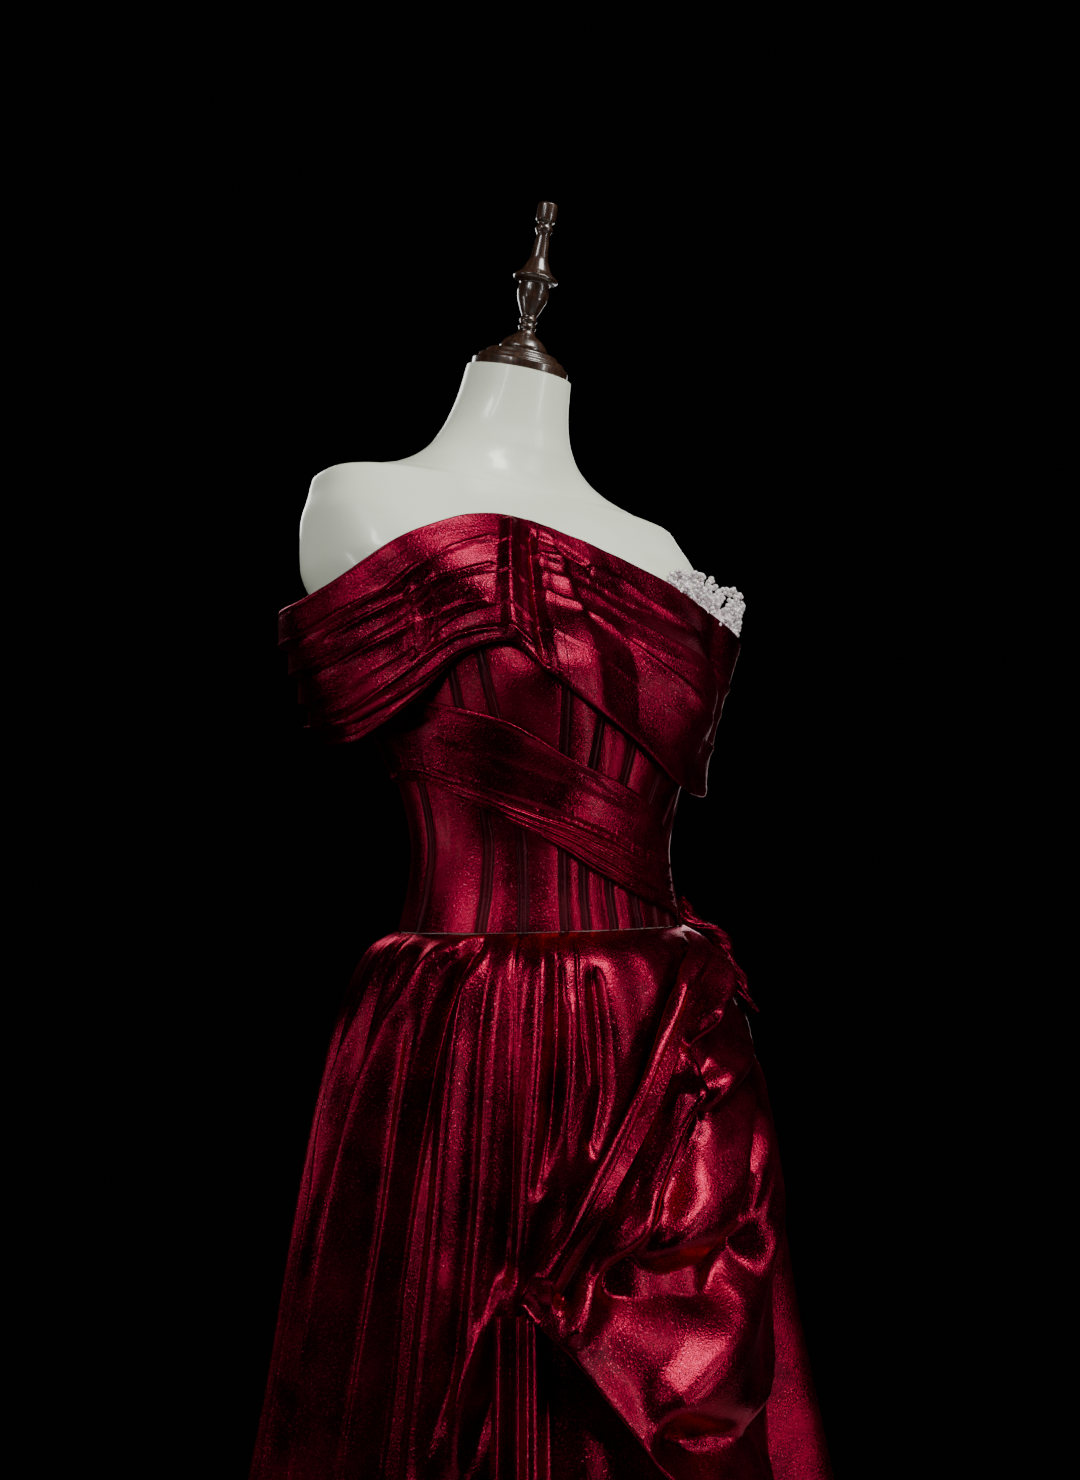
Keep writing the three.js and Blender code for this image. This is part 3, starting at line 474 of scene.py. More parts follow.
def new_material(name, **sockets):
    """A principled material with constants on its own sockets, and the piece's place for its patterns."""
    material = bpy.data.materials.new(name)
    material.use_nodes = True
    tree = material.node_tree
    shader = tree.nodes["Principled BSDF"]
    for socket, value in sockets.items():
        shader.inputs[socket.replace("_", " ")].default_value = value
    return material, tree, shader.inputs, node(tree, "ShaderNodeTexCoord").outputs["Object"]


def node(tree, kind, links=None, values=None, into=None, **settings):
    """Adds a node, sets its settings and values, and links named inputs to outputs of other nodes. Its first
    output goes into a socket where one is given."""
    made = tree.nodes.new(kind)
    for key, value in settings.items():
        setattr(made, key, value)
    for key, value in (values or {}).items():
        made.inputs[key].default_value = value
    for key, output in (links or {}).items():
        tree.links.new(output, made.inputs[key])
    if into is not None:
        tree.links.new(made.outputs[0], into)
    return made


def ramp(tree, source, stops, into=None):
    """Colours along a pattern, from stops of (position, colour)."""
    made = node(tree, "ShaderNodeValToRGB", {"Fac": source}, into=into)
    elements = made.color_ramp.elements
    while len(elements) > 1:
        elements.remove(elements[-1])
    elements[0].position, elements[0].color = stops[0]
    for position, colour in stops[1:]:
        elements.new(position).color = colour
    return made.outputs["Color"]


def grey(value):
    """A grey with its full cover, as a colour ramp takes it."""
    return (value, value, value, 1.0)


# Patterns are counted per metre. The velvet's crushed areas are 45 mm wide. Its pile fibres are really
# 0.02 mm thick, so its grains are drawn 1.6 mm and its sparks 1.9 mm wide, as coarse as they need to show.
CRUSHED_AREAS = 22.0
PILE_GRAINS = 620.0
PILE_SPARKS = 520.0


def velvet(name, mid, deep, painted_glint, rough, metal, glitter):
    """Woven velvet with a metallic pile. The eye sees soft crushed areas where the pile lies differently,
    dark deeps, and a fine grain that bumps the pile and breaks each highlight into speckles. Where the grain
    peaks, the colour is mixed towards the glint colour: a painted sparkle highlight."""
    material, tree, sockets, place = new_material(
        name, Metallic=metal, Sheen_Weight=0.04, Sheen_Roughness=0.25, Sheen_Tint=(1.0, 0.25, 0.36, 1.0),
        Specular_IOR_Level=0.35, Specular_Tint=(1.0, 0.4, 0.5, 1.0), Coat_Weight=0.03, Coat_Roughness=0.22,
        Coat_Tint=(1.0, 0.62, 0.7, 1.0))
    crush = node(tree, "ShaderNodeTexNoise", {"Vector": place}, {
        "Scale": CRUSHED_AREAS, "Detail": 3.0, "Roughness": 0.55}).outputs["Fac"]
    grain = node(tree, "ShaderNodeTexNoise", {"Vector": place}, {
        "Scale": PILE_GRAINS, "Detail": 2.0, "Roughness": 0.7}).outputs["Fac"]
    spark = node(tree, "ShaderNodeTexVoronoi", {"Vector": place}, {"Scale": PILE_SPARKS}).outputs["Distance"]
    mid, deep, painted_glint = linear(mid), linear(deep), linear(painted_glint)
    pile = ramp(tree, crush, [(0.32, deep), (0.66, mid), (0.9, mid)])
    # Painted highlight: where the grain peaks, the base colour is mixed towards the pinkish glint colour as
    # painted sparkle. The grain's bump and roughness below are real.
    painted_glint_mask = ramp(tree, grain, [(0.62, grey(0)), (0.8, grey(0.85))])
    painted_glint_mix = node(tree, "ShaderNodeMix", {"Factor": painted_glint_mask, 6: pile}, {7: painted_glint}, data_type="RGBA")
    tree.links.new(painted_glint_mix.outputs[2], sockets["Base Color"])
    middle_half = {"From Min": 0.3, "From Max": 0.7}
    uneven = node(tree, "ShaderNodeMapRange", {"Value": crush}, {
        **middle_half, "To Min": rough - 0.05, "To Max": rough + 0.07})
    speck = node(tree, "ShaderNodeMapRange", {"Value": grain}, {
        **middle_half, "To Min": -0.05, "To Max": 0.06})
    node(tree, "ShaderNodeMath", {0: uneven.outputs[0], 1: speck.outputs[0]}, into=sockets["Roughness"],
         operation="ADD")
    soft = node(tree, "ShaderNodeBump", {"Height": crush}, {"Strength": 0.07, "Distance": 0.004})
    fine = node(tree, "ShaderNodeBump", {"Height": grain, "Normal": soft.outputs[0]}, {
        "Strength": glitter, "Distance": 0.0009})
    node(tree, "ShaderNodeBump", {"Height": spark, "Normal": fine.outputs[0]}, {
        "Strength": glitter * 0.5, "Distance": 0.0006}, sockets["Normal"])
    return material


def lacquer():
    """White gloss lacquer on a moulded shell. The eye sees a slight green cast, a faint orange peel 4 mm
    across and a little wear in the gloss."""
    material, tree, sockets, place = new_material(
        "white gloss lacquer", Coat_Weight=0.35, Coat_Roughness=0.12, Specular_IOR_Level=0.5)
    patches = node(tree, "ShaderNodeTexNoise", {"Vector": place}, {"Scale": 9.0, "Detail": 4.0})
    patches = patches.outputs["Fac"]
    peel = node(tree, "ShaderNodeTexNoise", {"Vector": place}, {"Scale": 260.0, "Detail": 1.0}).outputs["Fac"]
    ramp(tree, patches, [(0.3, linear("#ebf4dc")), (0.7, linear("#f3fbe6"))], sockets["Base Color"])
    node(tree, "ShaderNodeMapRange", {"Value": patches}, {"To Min": 0.26, "To Max": 0.42},
         sockets["Roughness"])
    node(tree, "ShaderNodeBump", {"Height": peel}, {"Strength": 0.05, "Distance": 0.0004}, sockets["Normal"])
    return material


def wood():
    """Dark brown turned hardwood under clear lacquer. The eye sees grain 3 mm wide, eight times as long along
    the axis, and lathe rings 1.2 mm apart, both drawn coarser than the real ones."""
    material, tree, sockets, place = new_material(
        "dark lacquered turned wood", Coat_Weight=0.7, Coat_Roughness=0.08, Roughness=0.32)
    stretched = node(tree, "ShaderNodeMapping", {"Vector": place}, {"Scale": (1.0, 1.0, 0.12)})
    grain = node(tree, "ShaderNodeTexNoise", {"Vector": stretched.outputs[0]}, {
        "Scale": 330.0, "Detail": 5.0, "Roughness": 0.65})
    browns = [(0.3, linear("#160c08")), (0.55, linear("#3a2419")), (0.75, linear("#5a3d2b"))]
    ramp(tree, grain.outputs["Fac"], browns, sockets["Base Color"])
    rings = node(tree, "ShaderNodeTexWave", {"Vector": place}, {"Scale": 260.0, "Distortion": 1.5},
                 bands_direction="Z")
    node(tree, "ShaderNodeBump", {"Height": rings.outputs["Fac"]}, {"Strength": 0.08, "Distance": 0.0003},
         sockets["Normal"])
    return material


def steel():
    """Black powder-coated steel. The eye sees a fine pebbled skin, its pebbles 1.4 mm wide."""
    material, tree, sockets, place = new_material(
        "black powder-coated steel", Metallic=0.2, Specular_IOR_Level=0.5)
    pebble = node(tree, "ShaderNodeTexNoise", {"Vector": place}, {"Scale": 700.0, "Detail": 2.0})
    pebble = pebble.outputs["Fac"]
    ramp(tree, pebble, [(0.35, linear("#141314")), (0.7, linear("#262426"))], sockets["Base Color"])
    node(tree, "ShaderNodeMapRange", {"Value": pebble}, {"To Min": 0.42, "To Max": 0.6}, sockets["Roughness"])
    node(tree, "ShaderNodeBump", {"Height": pebble}, {"Strength": 0.2, "Distance": 0.0004}, sockets["Normal"])
    return material


def bead():
    """Pressed clear glass beads with a pinkish white core, which changes over 3 mm, so from bead to bead."""
    material, tree, sockets, place = new_material(
        "clear pinkish white beads", Roughness=0.08, Transmission_Weight=0.15, IOR=1.5, Coat_Weight=0.6)
    tint = node(tree, "ShaderNodeTexNoise", {"Vector": place}, {"Scale": 300.0, "Detail": 1.0}).outputs["Fac"]
    ramp(tree, tint, [(0.35, linear("#f2dfe4")), (0.65, linear("#ffffff"))], sockets["Base Color"])
    return material


def net():
    """The woven pinkish net that the beads are sewn on. Its holes are drawn 2 mm wide."""
    material, tree, sockets, place = new_material("pinkish bead net", Sheen_Weight=0.3, Roughness=0.6)
    holes = node(tree, "ShaderNodeTexVoronoi", {"Vector": place}, {"Scale": 480.0}).outputs["Distance"]
    ramp(tree, holes, [(0.15, linear("#a88890")), (0.5, linear("#f4e6ea"))], sockets["Base Color"])
    return material


# Each velvet: its name, its colour where it is lit, in its deeps and in its painted glints (a painted
# sparkle highlight), then its roughness, its metallic share and the strength of its grain.
VELVETS = {
    "velvet": ("crimson metallic velvet", "#7a0326", "#470115", "#dc5f7e", 0.24, 0.94, 0.36),
    "band": ("crimson band velvet", "#6c0222", "#420113", "#dc5f7e", 0.26, 0.94, 0.46),
    "bodice": ("crimson bodice velvet", "#7e0328", "#580219", "#dc5f7e", 0.28, 0.93, 0.44),
    "tape": ("dark crimson velvet tape", "#400511", "#1d0208", "#8c2a3f", 0.4, 0.7, 0.4),
}
materials = {key: velvet(*facts) for key, facts in VELVETS.items()}
materials.update(lacquer=lacquer(), wood=wood(), steel=steel(), bead=bead(), net=net())


def grid(us, vs):
    """Two arrays over a grid: the first changes across it and the second up it."""
    return np.meshgrid(np.asarray(us, float), np.asarray(vs, float))


def unit(vectors):
    """Each vector, at a length of one."""
    return vectors / (np.linalg.norm(vectors, axis=-1, keepdims=True) + 1e-12)


def normals(points):
    """A grid's normals: the cross product of its two directions."""
    return unit(np.cross(np.gradient(points, axis=1), np.gradient(points, axis=0)))


def moved_out(points, relief):
    """Each point moved along its grid's normal."""
    return points + normals(points) * np.asarray(relief)[..., None]


def grid_mesh(name, parts):
    """One object from grids of points in millimetres, with the distances along each grid as its UV map."""
    corners, faces, uvs, start = [], [], [], 0
    for points in parts:
        high, wide = points.shape[:2]
        index = start + np.arange(high * wide).reshape(high, wide)
        quads = np.stack([index[:-1, :-1], index[:-1, 1:], index[1:, 1:], index[1:, :-1]], -1)
        faces.append(quads.reshape(-1, 4))
        along = np.linalg.norm(np.diff(points[high // 2], axis=0), axis=-1)
        up = np.linalg.norm(np.diff(points[:, wide // 2], axis=0), axis=-1)
        u, v = np.meshgrid(np.r_[0, np.cumsum(along)], np.r_[0, np.cumsum(up)])
        uvs.append(np.stack([u, v], -1).reshape(-1, 2) * MM)
        corners.append(points.reshape(-1, 3) * MM)
        start += high * wide
    corners, faces, uvs = np.concatenate(corners), np.concatenate(faces), np.concatenate(uvs)
    mesh = bpy.data.meshes.new(name)
    mesh.vertices.add(len(corners))
    mesh.vertices.foreach_set("co", corners.ravel())
    mesh.loops.add(faces.size)
    mesh.loops.foreach_set("vertex_index", faces.ravel())
    mesh.polygons.add(len(faces))
    mesh.polygons.foreach_set("loop_start", np.arange(0, faces.size, 4))
    mesh.update(calc_edges=True)
    mesh.uv_layers.new(name="UVMap").data.foreach_set("uv", uvs[faces.ravel()].ravel())
    mesh.polygons.foreach_set("use_smooth", np.ones(len(faces), bool))
    piece = bpy.data.objects.new(name, mesh)
    bpy.context.scene.collection.objects.link(piece)
    return piece


def finish_piece(piece, material, replaced=()):
    """Gives a piece its material and its body, and hides the CAD solids that it stands for."""
    piece.data.materials.append(material)
    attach(piece, "root")
    if replaced:
        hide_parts(*replaced)
    return piece


def cloth_piece(name, parts, material, replaced):
    """A sheet of cloth: a mesh of its grids with its material and body. It works out its longest run each
    way and its area, but keeps neither.
    """
    piece = finish_piece(grid_mesh(name, parts), material, replaced)
    width, length = (
        sum(np.linalg.norm(np.diff(p, axis=axis), axis=-1).sum(axis).max() for p in parts) * MM
        for axis in (1, 0))
    area = sum(polygon.area for polygon in piece.data.polygons)
    if area < 0.3 * width * length:
        width = area / length
    return piece


def rolled(points, turn, depth, steps, low=True, high=False):
    """The grid with a hem at its lower or upper edge: the cloth goes round half a circle as wide as its turn
    and runs back inside for its depth."""
    normal = normals(points)
    out = [points]
    for wanted, edge, before in ((low, 0, 1), (high, -1, -2)):
        if not wanted:
            continue
        away = unit(points[edge] - points[before])
        bend = np.pi * np.arange(1, steps + 1)[:, None, None] / steps
        curl = points[edge] + turn / 2 * (away * np.sin(bend) - normal[edge] * (1 - np.cos(bend)))
        inside = points[edge] - away * depth - normal[edge] * (turn + SEAM_GAP)
        hem = np.concatenate([curl, inside[None]])
        out = [hem[::-1], points] if edge == 0 else [*out, hem]
    return np.concatenate(out, 0)


SHOULDER_CAP_X = 173


def make_form():
    """The form's sections in small steps. The mould's parting line is a groove round each shoulder cap and a
    low seam over the shoulders, and a lid closes each end."""
    heights = np.r_[np.linspace(FORM_BOTTOM, BODICE_TOP, 40), np.linspace(1265, 1410, 50),
                    np.linspace(1411, NECK_TOP, 50)]
    angle, z = grid(np.linspace(-180, 180, 181), heights)
    points = form_point(angle, z)
    from_middle = np.abs(points[..., 0])
    groove = bump(from_middle, SHOULDER_CAP_X, 0.9) * smooth(z, 1285, 1300) * (1 - smooth(z, 1425, 1435))
    seam = bump(points[..., 1] - form["y"](z), 0, 0.8) * (from_middle < SHOULDER_CAP_X + 3)
    points = moved_out(points, -0.9 * groove + 0.25 * seam * smooth(z, 1400, 1416))
    low, high = (np.array([lerp(edge, edge[:-1].mean(0), share) for share in (0, 0.03, 0.5, 0.99)])
                 for edge in (points[0], points[-1]))
    finish_piece(grid_mesh("form_shell", [points, low[::-1], high]), materials["lacquer"],
                 ["form_torso"])


def lathe(profile, sides):
    """A profile of radii and heights, turned round the upright axis."""
    r, h = np.array(profile, float).T
    turn = np.linspace(0, 2 * np.pi, sides + 1)
    x = r[:, None] * np.sin(turn)
    y = -r[:, None] * np.cos(turn)
    return np.stack([x, y, h[:, None] + 0 * x], -1)


def rounded(profile, radius=1.2, steps=4):
    """A turned profile with its corners rounded by small arcs, as a lathe tool and lacquer leave them."""
    p = np.array(profile, float)
    out = [p[0]]
    for a, b, c in zip(p[:-2], p[1:-1], p[2:]):
        reach = min(radius, np.linalg.norm(b - a) * 0.45, np.linalg.norm(c - b) * 0.45)
        start = b + (a - b) / np.linalg.norm(a - b) * reach
        end = b + (c - b) / np.linalg.norm(c - b) * reach
        for t in np.linspace(0, 1, steps):
            out.append((1 - t) ** 2 * start + 2 * t * (1 - t) * b + t * t * end)
    out.append(p[-1])
    return np.array(out)


NECK_TILT = 18
CAP_HEIGHT = 20
CAP_PROFILE = [[0, 0], [44, 0], [44, 8], [40, 9], [39, 13], [33.5, 14], [32.5, 18], [24, 20], [0, 20]]
FINIAL_PROFILE = [
    [0, 0], [22, 0], [22, 3], [18, 9], [9, 15], [7, 19], [8.5, 22], [6.5, 25], [8.5, 28], [6.5, 31], [9, 36],
    [13.5, 46], [14.5, 53], [13, 60], [19, 62], [21, 65], [14, 70], [8, 82], [5.5, 103], [8.5, 108],
    [5.5, 113], [9, 115], [9, 130], [0, 130],
]
BASE_PROFILE = [[0, 0], [185, 0], [185, 12], [179, 16], [30, 24], [0, 24]]
POLE_PROFILE = [[0, 24.3], [16, 24.3], [16, 699.7], [0, 699.7]]


def on_neck(points, start):
    """Stands a turned shape on the neck's tilted top."""
    tilt = math.radians(NECK_TILT)
    x, y, h = points[..., 0], points[..., 1], points[..., 2] + start
    ahead = form["y"](NECK_TOP) + y * math.cos(tilt) - h * math.sin(tilt)
    return np.stack([x, ahead, NECK_TOP + y * math.sin(tilt) + h * math.cos(tilt)], -1)


def make_turned():
    """The turned cap and finial on the neck, and the base plate and pole under the form."""
    cap = on_neck(lathe(rounded(CAP_PROFILE), 96), SEAM_GAP)
    finial = on_neck(lathe(rounded(FINIAL_PROFILE, 2.0, 5), 72), CAP_HEIGHT + 2 * SEAM_GAP)
    plate = lathe(rounded(BASE_PROFILE, 2.5), 128)
    pole = lathe(rounded(POLE_PROFILE, 0.8), 48)
    for name, points, material, slot, replaced in (
            ("turned_cap", cap, "wood", "turned_wood", "neck_cap"),
            ("turned_finial", finial, "wood", "turned_wood", "finial"),
            ("base_plate", plate, "steel", "stand_metal", "stand_base"),
            ("pole_tube", pole, "steel", "stand_metal", "stand_pole")):
        finish_piece(grid_mesh(name, [points]), materials[material], [replaced])


BODICE_NODES = [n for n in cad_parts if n.startswith("bodice_")]
BONING_NODES = [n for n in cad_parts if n.startswith("boning_") or n == "back_zip_cover"]
PANELS = len(SEAMS["waist"]) - 1
TAPE_WIDTH = 9
ZIP_COVER_WIDTH = 7
ZIP_COVER_TOP = 1204
# How far the bodice and its tapes stand off the form.
BODICE_OUT = 3.0
TAPE_OUT = 3.6
# How far each raised tape stands off at the bust, where the bodice curves away from it.
RAISED_TAPES = {8: 1.1, 10: 0.3, 11: 0.3, 12: 0.3}
# Half of a boning tape's section: the share of its half width, and its height.
TAPE_HALF = table("across height", [
    [0, 1.45], [0.25, 1.35], [0.45, 1], [0.6, 0.35], [0.68, -0.35], [0.74, 0.1], [0.86, 0.35], [0.97, 0.1],
    [1, -1.3],
])


def tape(middle, zs, width, lift=0.0):
    """A boning channel: a rounded casing between two flat stitched edges, the same on both sides."""
    half, rise = TAPE_HALF["across"], TAPE_HALF["height"]
    s, z = grid(np.r_[-half[:0:-1], half], zs)
    centre = middle[:, None] + 0 * s
    angle = centre + s * np.degrees(width / 2 / form_radius(centre, z))
    return form_point(angle, z, TAPE_OUT + lift + np.r_[rise[:0:-1], rise])


def make_bodice():
    """Panels that dip at each seam, crown between them and pucker a little, with a boning tape on every seam.
    The dip is a bell across the seam, the crown half a sine wave, and the puckers fade out at the seams."""
    heights = np.linspace(WAIST + 0.2, BODICE_TOP, 96)
    place = np.r_[np.concatenate([i + np.linspace(0, 1, 21)[:-1] for i in range(PANELS)]), PANELS]
    share, z = grid(place, heights)
    lines = np.stack([seam_angle(i, heights) for i in range(PANELS + 1)], -1)
    i = np.clip(np.floor(share).astype(int), 0, PANELS - 1)
    start, end = (np.take_along_axis(lines, i + step, 1) for step in (0, 1))
    angle = lerp(start, end, share - i)
    across = np.radians(end - start) * form_radius(angle, z)
    from_seam = np.minimum(share - i, 1 - share + i) * across
    crown = 0.9 * np.sin(np.pi * (share - i))
    pucker = 1.0 * ripple(angle * 0.11, z * 0.045, 3) + 0.3 * ripple(angle * 0.4, z * 0.10, 5)
    relief = crown - 1.1 * bump(from_seam, 0, 3) + pucker * smooth(from_seam, 1, 8)
    points = rolled(moved_out(form_point(angle, z, BODICE_OUT), relief), 2.0, 8.0, 4, low=False, high=True)
    cloth_piece("bodice_cloth", [points], materials["bodice"], BODICE_NODES)
    zs = np.linspace(WAIST + 0.4, BODICE_TOP - 0.5, 60)
    tapes = []
    for k in range(1, PANELS):
        lift = RAISED_TAPES.get(k, 0) * smooth(zs, 1140, 1200)
        tapes.append(tape(seam_angle(k, zs), zs, TAPE_WIDTH, lift[:, None]))
    zs = np.linspace(WAIST + 0.4, ZIP_COVER_TOP, 50)
    tapes.append(tape(seam_angle(0, zs), zs, ZIP_COVER_WIDTH))
    cloth_piece("boning_tapes", tapes, materials["tape"], BONING_NODES)


SASH_FOLDS = [
    (0.8, 3.0, 0.5, [(-112, 1178), (-60, 1152), (-20, 1126), (20, 1104), (45, 1088)]),
    (0.5, 4.0, 0.3, [(-70, 1190), (-35, 1160), (5, 1136), (44, 1098)]),
    (-0.5, 5.0, 0.0, [(-60, 1180), (-25, 1150), (15, 1122), (40, 1102)]),
    (0.9, 4.0, 0.3, [(-40, 1186), (-10, 1152), (30, 1122), (45, 1104)]),
]
# How far the sash's flat strip and its pleats stand off the form.
SASH_OUT = 7.6
PLEATS_OUT = 6.9


def make_sash():
    """The flat strip with its turned edges and a few creases, and under it the loose pleats: three folds and
    eight finer ones, each the upper half of a sine wave, that wander a little."""
    ends = np.linspace(SASH["angle"][0], SASH["angle"][-1], 300)
    angle, v = grid(ends, np.linspace(0, 1, 46))
    z = lerp(sash["middle"](angle) + SEAM_GAP, sash["top"](angle), v)
    edge = 0.8 * bump(v, 0.035, 0.02) - 0.6 * bump(v, 0.075, 0.015) + 0.5 * bump(v, 0.97, 0.03)
    puckers = 0.35 * ripple(angle * 0.9, v * 1.5, 2) * bump(v, 0.08, 0.12)
    relief = crease_lift(SASH_FOLDS, angle, z, 125) + edge + puckers + 0.4 * ripple(angle * 0.07, v * 2, 4)
    points = rolled(moved_out(form_point(angle, z, SASH_OUT), relief), 2.4, 7.0, 5, high=True)
    cloth_piece("sash_cloth", [points], materials["velvet"], ["sash_flat"])
    angle, v = grid(ends, np.linspace(0, 1, 64))
    z = lerp(sash["low"](angle), sash["middle"](angle), v)
    wander = v + 0.05 * np.sin(np.radians(angle * 4)) * np.sin(np.pi * v)
    fold = np.abs(np.sin(3 * np.pi * wander))
    fine = np.abs(np.sin(8 * np.pi * (wander + 0.03 * ripple(angle * 0.1, v, 6))))
    height = (sash["middle"](angle) - sash["low"](angle)) / 34
    points = moved_out(form_point(angle, z, PLEATS_OUT), 2.6 * fold ** 0.8 * height + 1.5 * fine * height)
    points = rolled(points, 1.6, 4.0, 4)
    cloth_piece("sash_gathers", [points], materials["velvet"], ["sash_pleats"])


PLEATS = 4


def band_relief(angle, v):
    """Lengthwise pleats, each proud at its lower fold, deep where the band splays at the right arm, and flat
    over the front. A pleat is a saw tooth with a soft drop and a lip at its fold."""
    splay = bump(angle, -96, 24)
    wander = v + 0.022 * ripple(angle * 0.05, v * 2.0, 2) * np.sin(np.pi * v) * (1 - 0.7 * splay)
    right = 1 - smooth(angle, -40, -26)
    saw = 1 - np.clip(wander * PLEATS, 0, PLEATS - 1e-6) % 1
    soft = lerp(0.22, 0.5, right)
    pleats = (3.0 * soft + 7 * splay) * saw * (1 - bump(saw, 0, 0.1)) + 0.9 * soft * bump(saw, 1, 0.1)
    half_saw = 1 - (wander * 2 * PLEATS) % 1
    pleats = pleats + 0.25 * right * (1 - splay) * half_saw * (1 - bump(half_saw, 0, 0.12))
    return pleats * smooth(v, 0.0, 0.02) * (1 - 0.65 * bump(angle, -52, 16))


# The band's own creases, on lines of places that are an angle and a share of the way up the band.
BAND_UNROLL = 165
BAND_HIGH = 130
BAND_FOLDS = [
    (6.0, 6.5, 0.25, [(-38.8, 0.93), (-38.8, 0.6), (-38.3, 0.3), (-37.0, 0.02)]),
    (-6.0, 5.0, 0.0, [(-29.0, 0.88), (-29.6, 0.5), (-29.9, 0.2), (-28.9, 0.0)]),
    (2.5, 10.0, -0.3, [(-19.0, 0.85), (-16.0, 0.5), (-15.0, 0.08)]),
    (-3.5, 3.5, 0.0, [(-25.0, 0.90), (-14.0, 0.88), (-4.0, 0.84)]),
    (2.4, 3.0, -0.4, [(-27.0, 0.77), (-7.8, 0.834), (13.4, 0.869), (31.2, 0.78), (64.8, 0.68)]),
    (2.2, 3.2, -0.4, [(-27.0, 0.51), (-12.9, 0.541), (3.4, 0.452), (21.0, 0.344), (58.0, 0.26)]),
    (1.4, 4.0, -0.3, [(-25.0, 0.66), (-6.0, 0.69), (18.0, 0.60), (44.0, 0.5), (80.0, 0.47)]),
    (3.0, 4.0, 0.2, [(-62.7, 0.6), (-62.7, 0.4), (-62.4, 0.2)]),
    (-2.2, 4.0, 0.0, [(-58.5, 0.62), (-58.0, 0.4), (-58.2, 0.22)]),
    (1.6, 3.0, -0.4, [(-90.5, 0.72), (-77.2, 0.78), (-64.0, 0.72), (-51.3, 0.75), (-44, 0.8)]),
    (1.8, 3.0, -0.4, [(-80, 0.66), (-73.2, 0.65), (-64.8, 0.62), (-51.8, 0.54), (-43.8, 0.56)]),
    (1.6, 3.0, -0.4, [(-91.2, 0.42), (-76.2, 0.45), (-63.2, 0.42), (-53.3, 0.33), (-45, 0.3)]),
    (2.0, 3.0, 0.2, [(-84, 0.05), (-72, 0.10), (-60, 0.15), (-50, 0.11), (-40, 0.07), (-33, 0.08)]),
]


def band_surface(angle, v):
    """The band's walls with its pleats, creases and crushed areas, which fade at its edges and back."""
    folds = crease_lift(
        [(rise, half, lean, [(a, b * BAND_HIGH) for a, b in line]) for rise, half, lean, line in BAND_FOLDS],
        angle, v * BAND_HIGH, BAND_UNROLL)
    crush = 0.5 * ripple(angle * 0.07, v * 3, 7) + 0.15 * ripple(angle * 0.33, v * 12, 8)
    fade = smooth(v, 0, 0.05) * (1 - smooth(v, 0.95, 1))
    fade = fade * (1 - 0.6 * smooth(angle, 100, 140))
    return moved_out(band_point(angle, v), band_relief(angle, v) + (folds + crush) * (0.35 + 0.65 * fade))


BAND_SEAM = -24
# The ends of the band's second layer, and how far it lies inside the band.
LINING_FROM, LINING_TO = -112, -52
LINING_INSIDE = 3.6


def make_band():
    """The band's two halves with their hems, and the second layer, whose hem shows below the band over the
    right arm: it hangs lowest in its middle and lies inside the band by its own depth."""
    for name, start, end, columns in (
            ("band_right", -179.8, BAND_SEAM - 0.1, 320), ("band_left", BAND_SEAM + 0.1, 179.8, 400)):
        angle, v = grid(np.linspace(start, end, columns), np.linspace(0, 1, 110))
        points = rolled(band_surface(angle, v), 3.4, 11, 6, high=True)
        cloth_piece(name + "_cloth", [points], materials["band"], [name])
    angle, v = grid(np.linspace(LINING_FROM, LINING_TO, 120), np.linspace(0, 1, 30))
    ends = np.sin(np.pi * (angle - LINING_FROM) / (LINING_TO - LINING_FROM))
    height = band["top"](angle) - band["bottom"](angle)
    share = lerp(-12 * ends / height, 0.14, v)
    points = band_point(angle, np.maximum(share, 0))
    points[..., 2] += np.minimum(share, 0) * height
    inwards = unit(np.stack([-points[..., 0], ARM_AXIS_Y - points[..., 1], 0 * v], -1))
    points = points + inwards * LINING_INSIDE
    points = moved_out(points, 0.8 * ripple(angle * 0.25, v * 2, 5) * (1 - v) + 0.5 * bump(v, 0.12, 0.06))
    points = rolled(points, 2.2, 8, 5)
    cloth_piece("band_lining_cloth", [points], materials["band"], ["band_under_layer"])


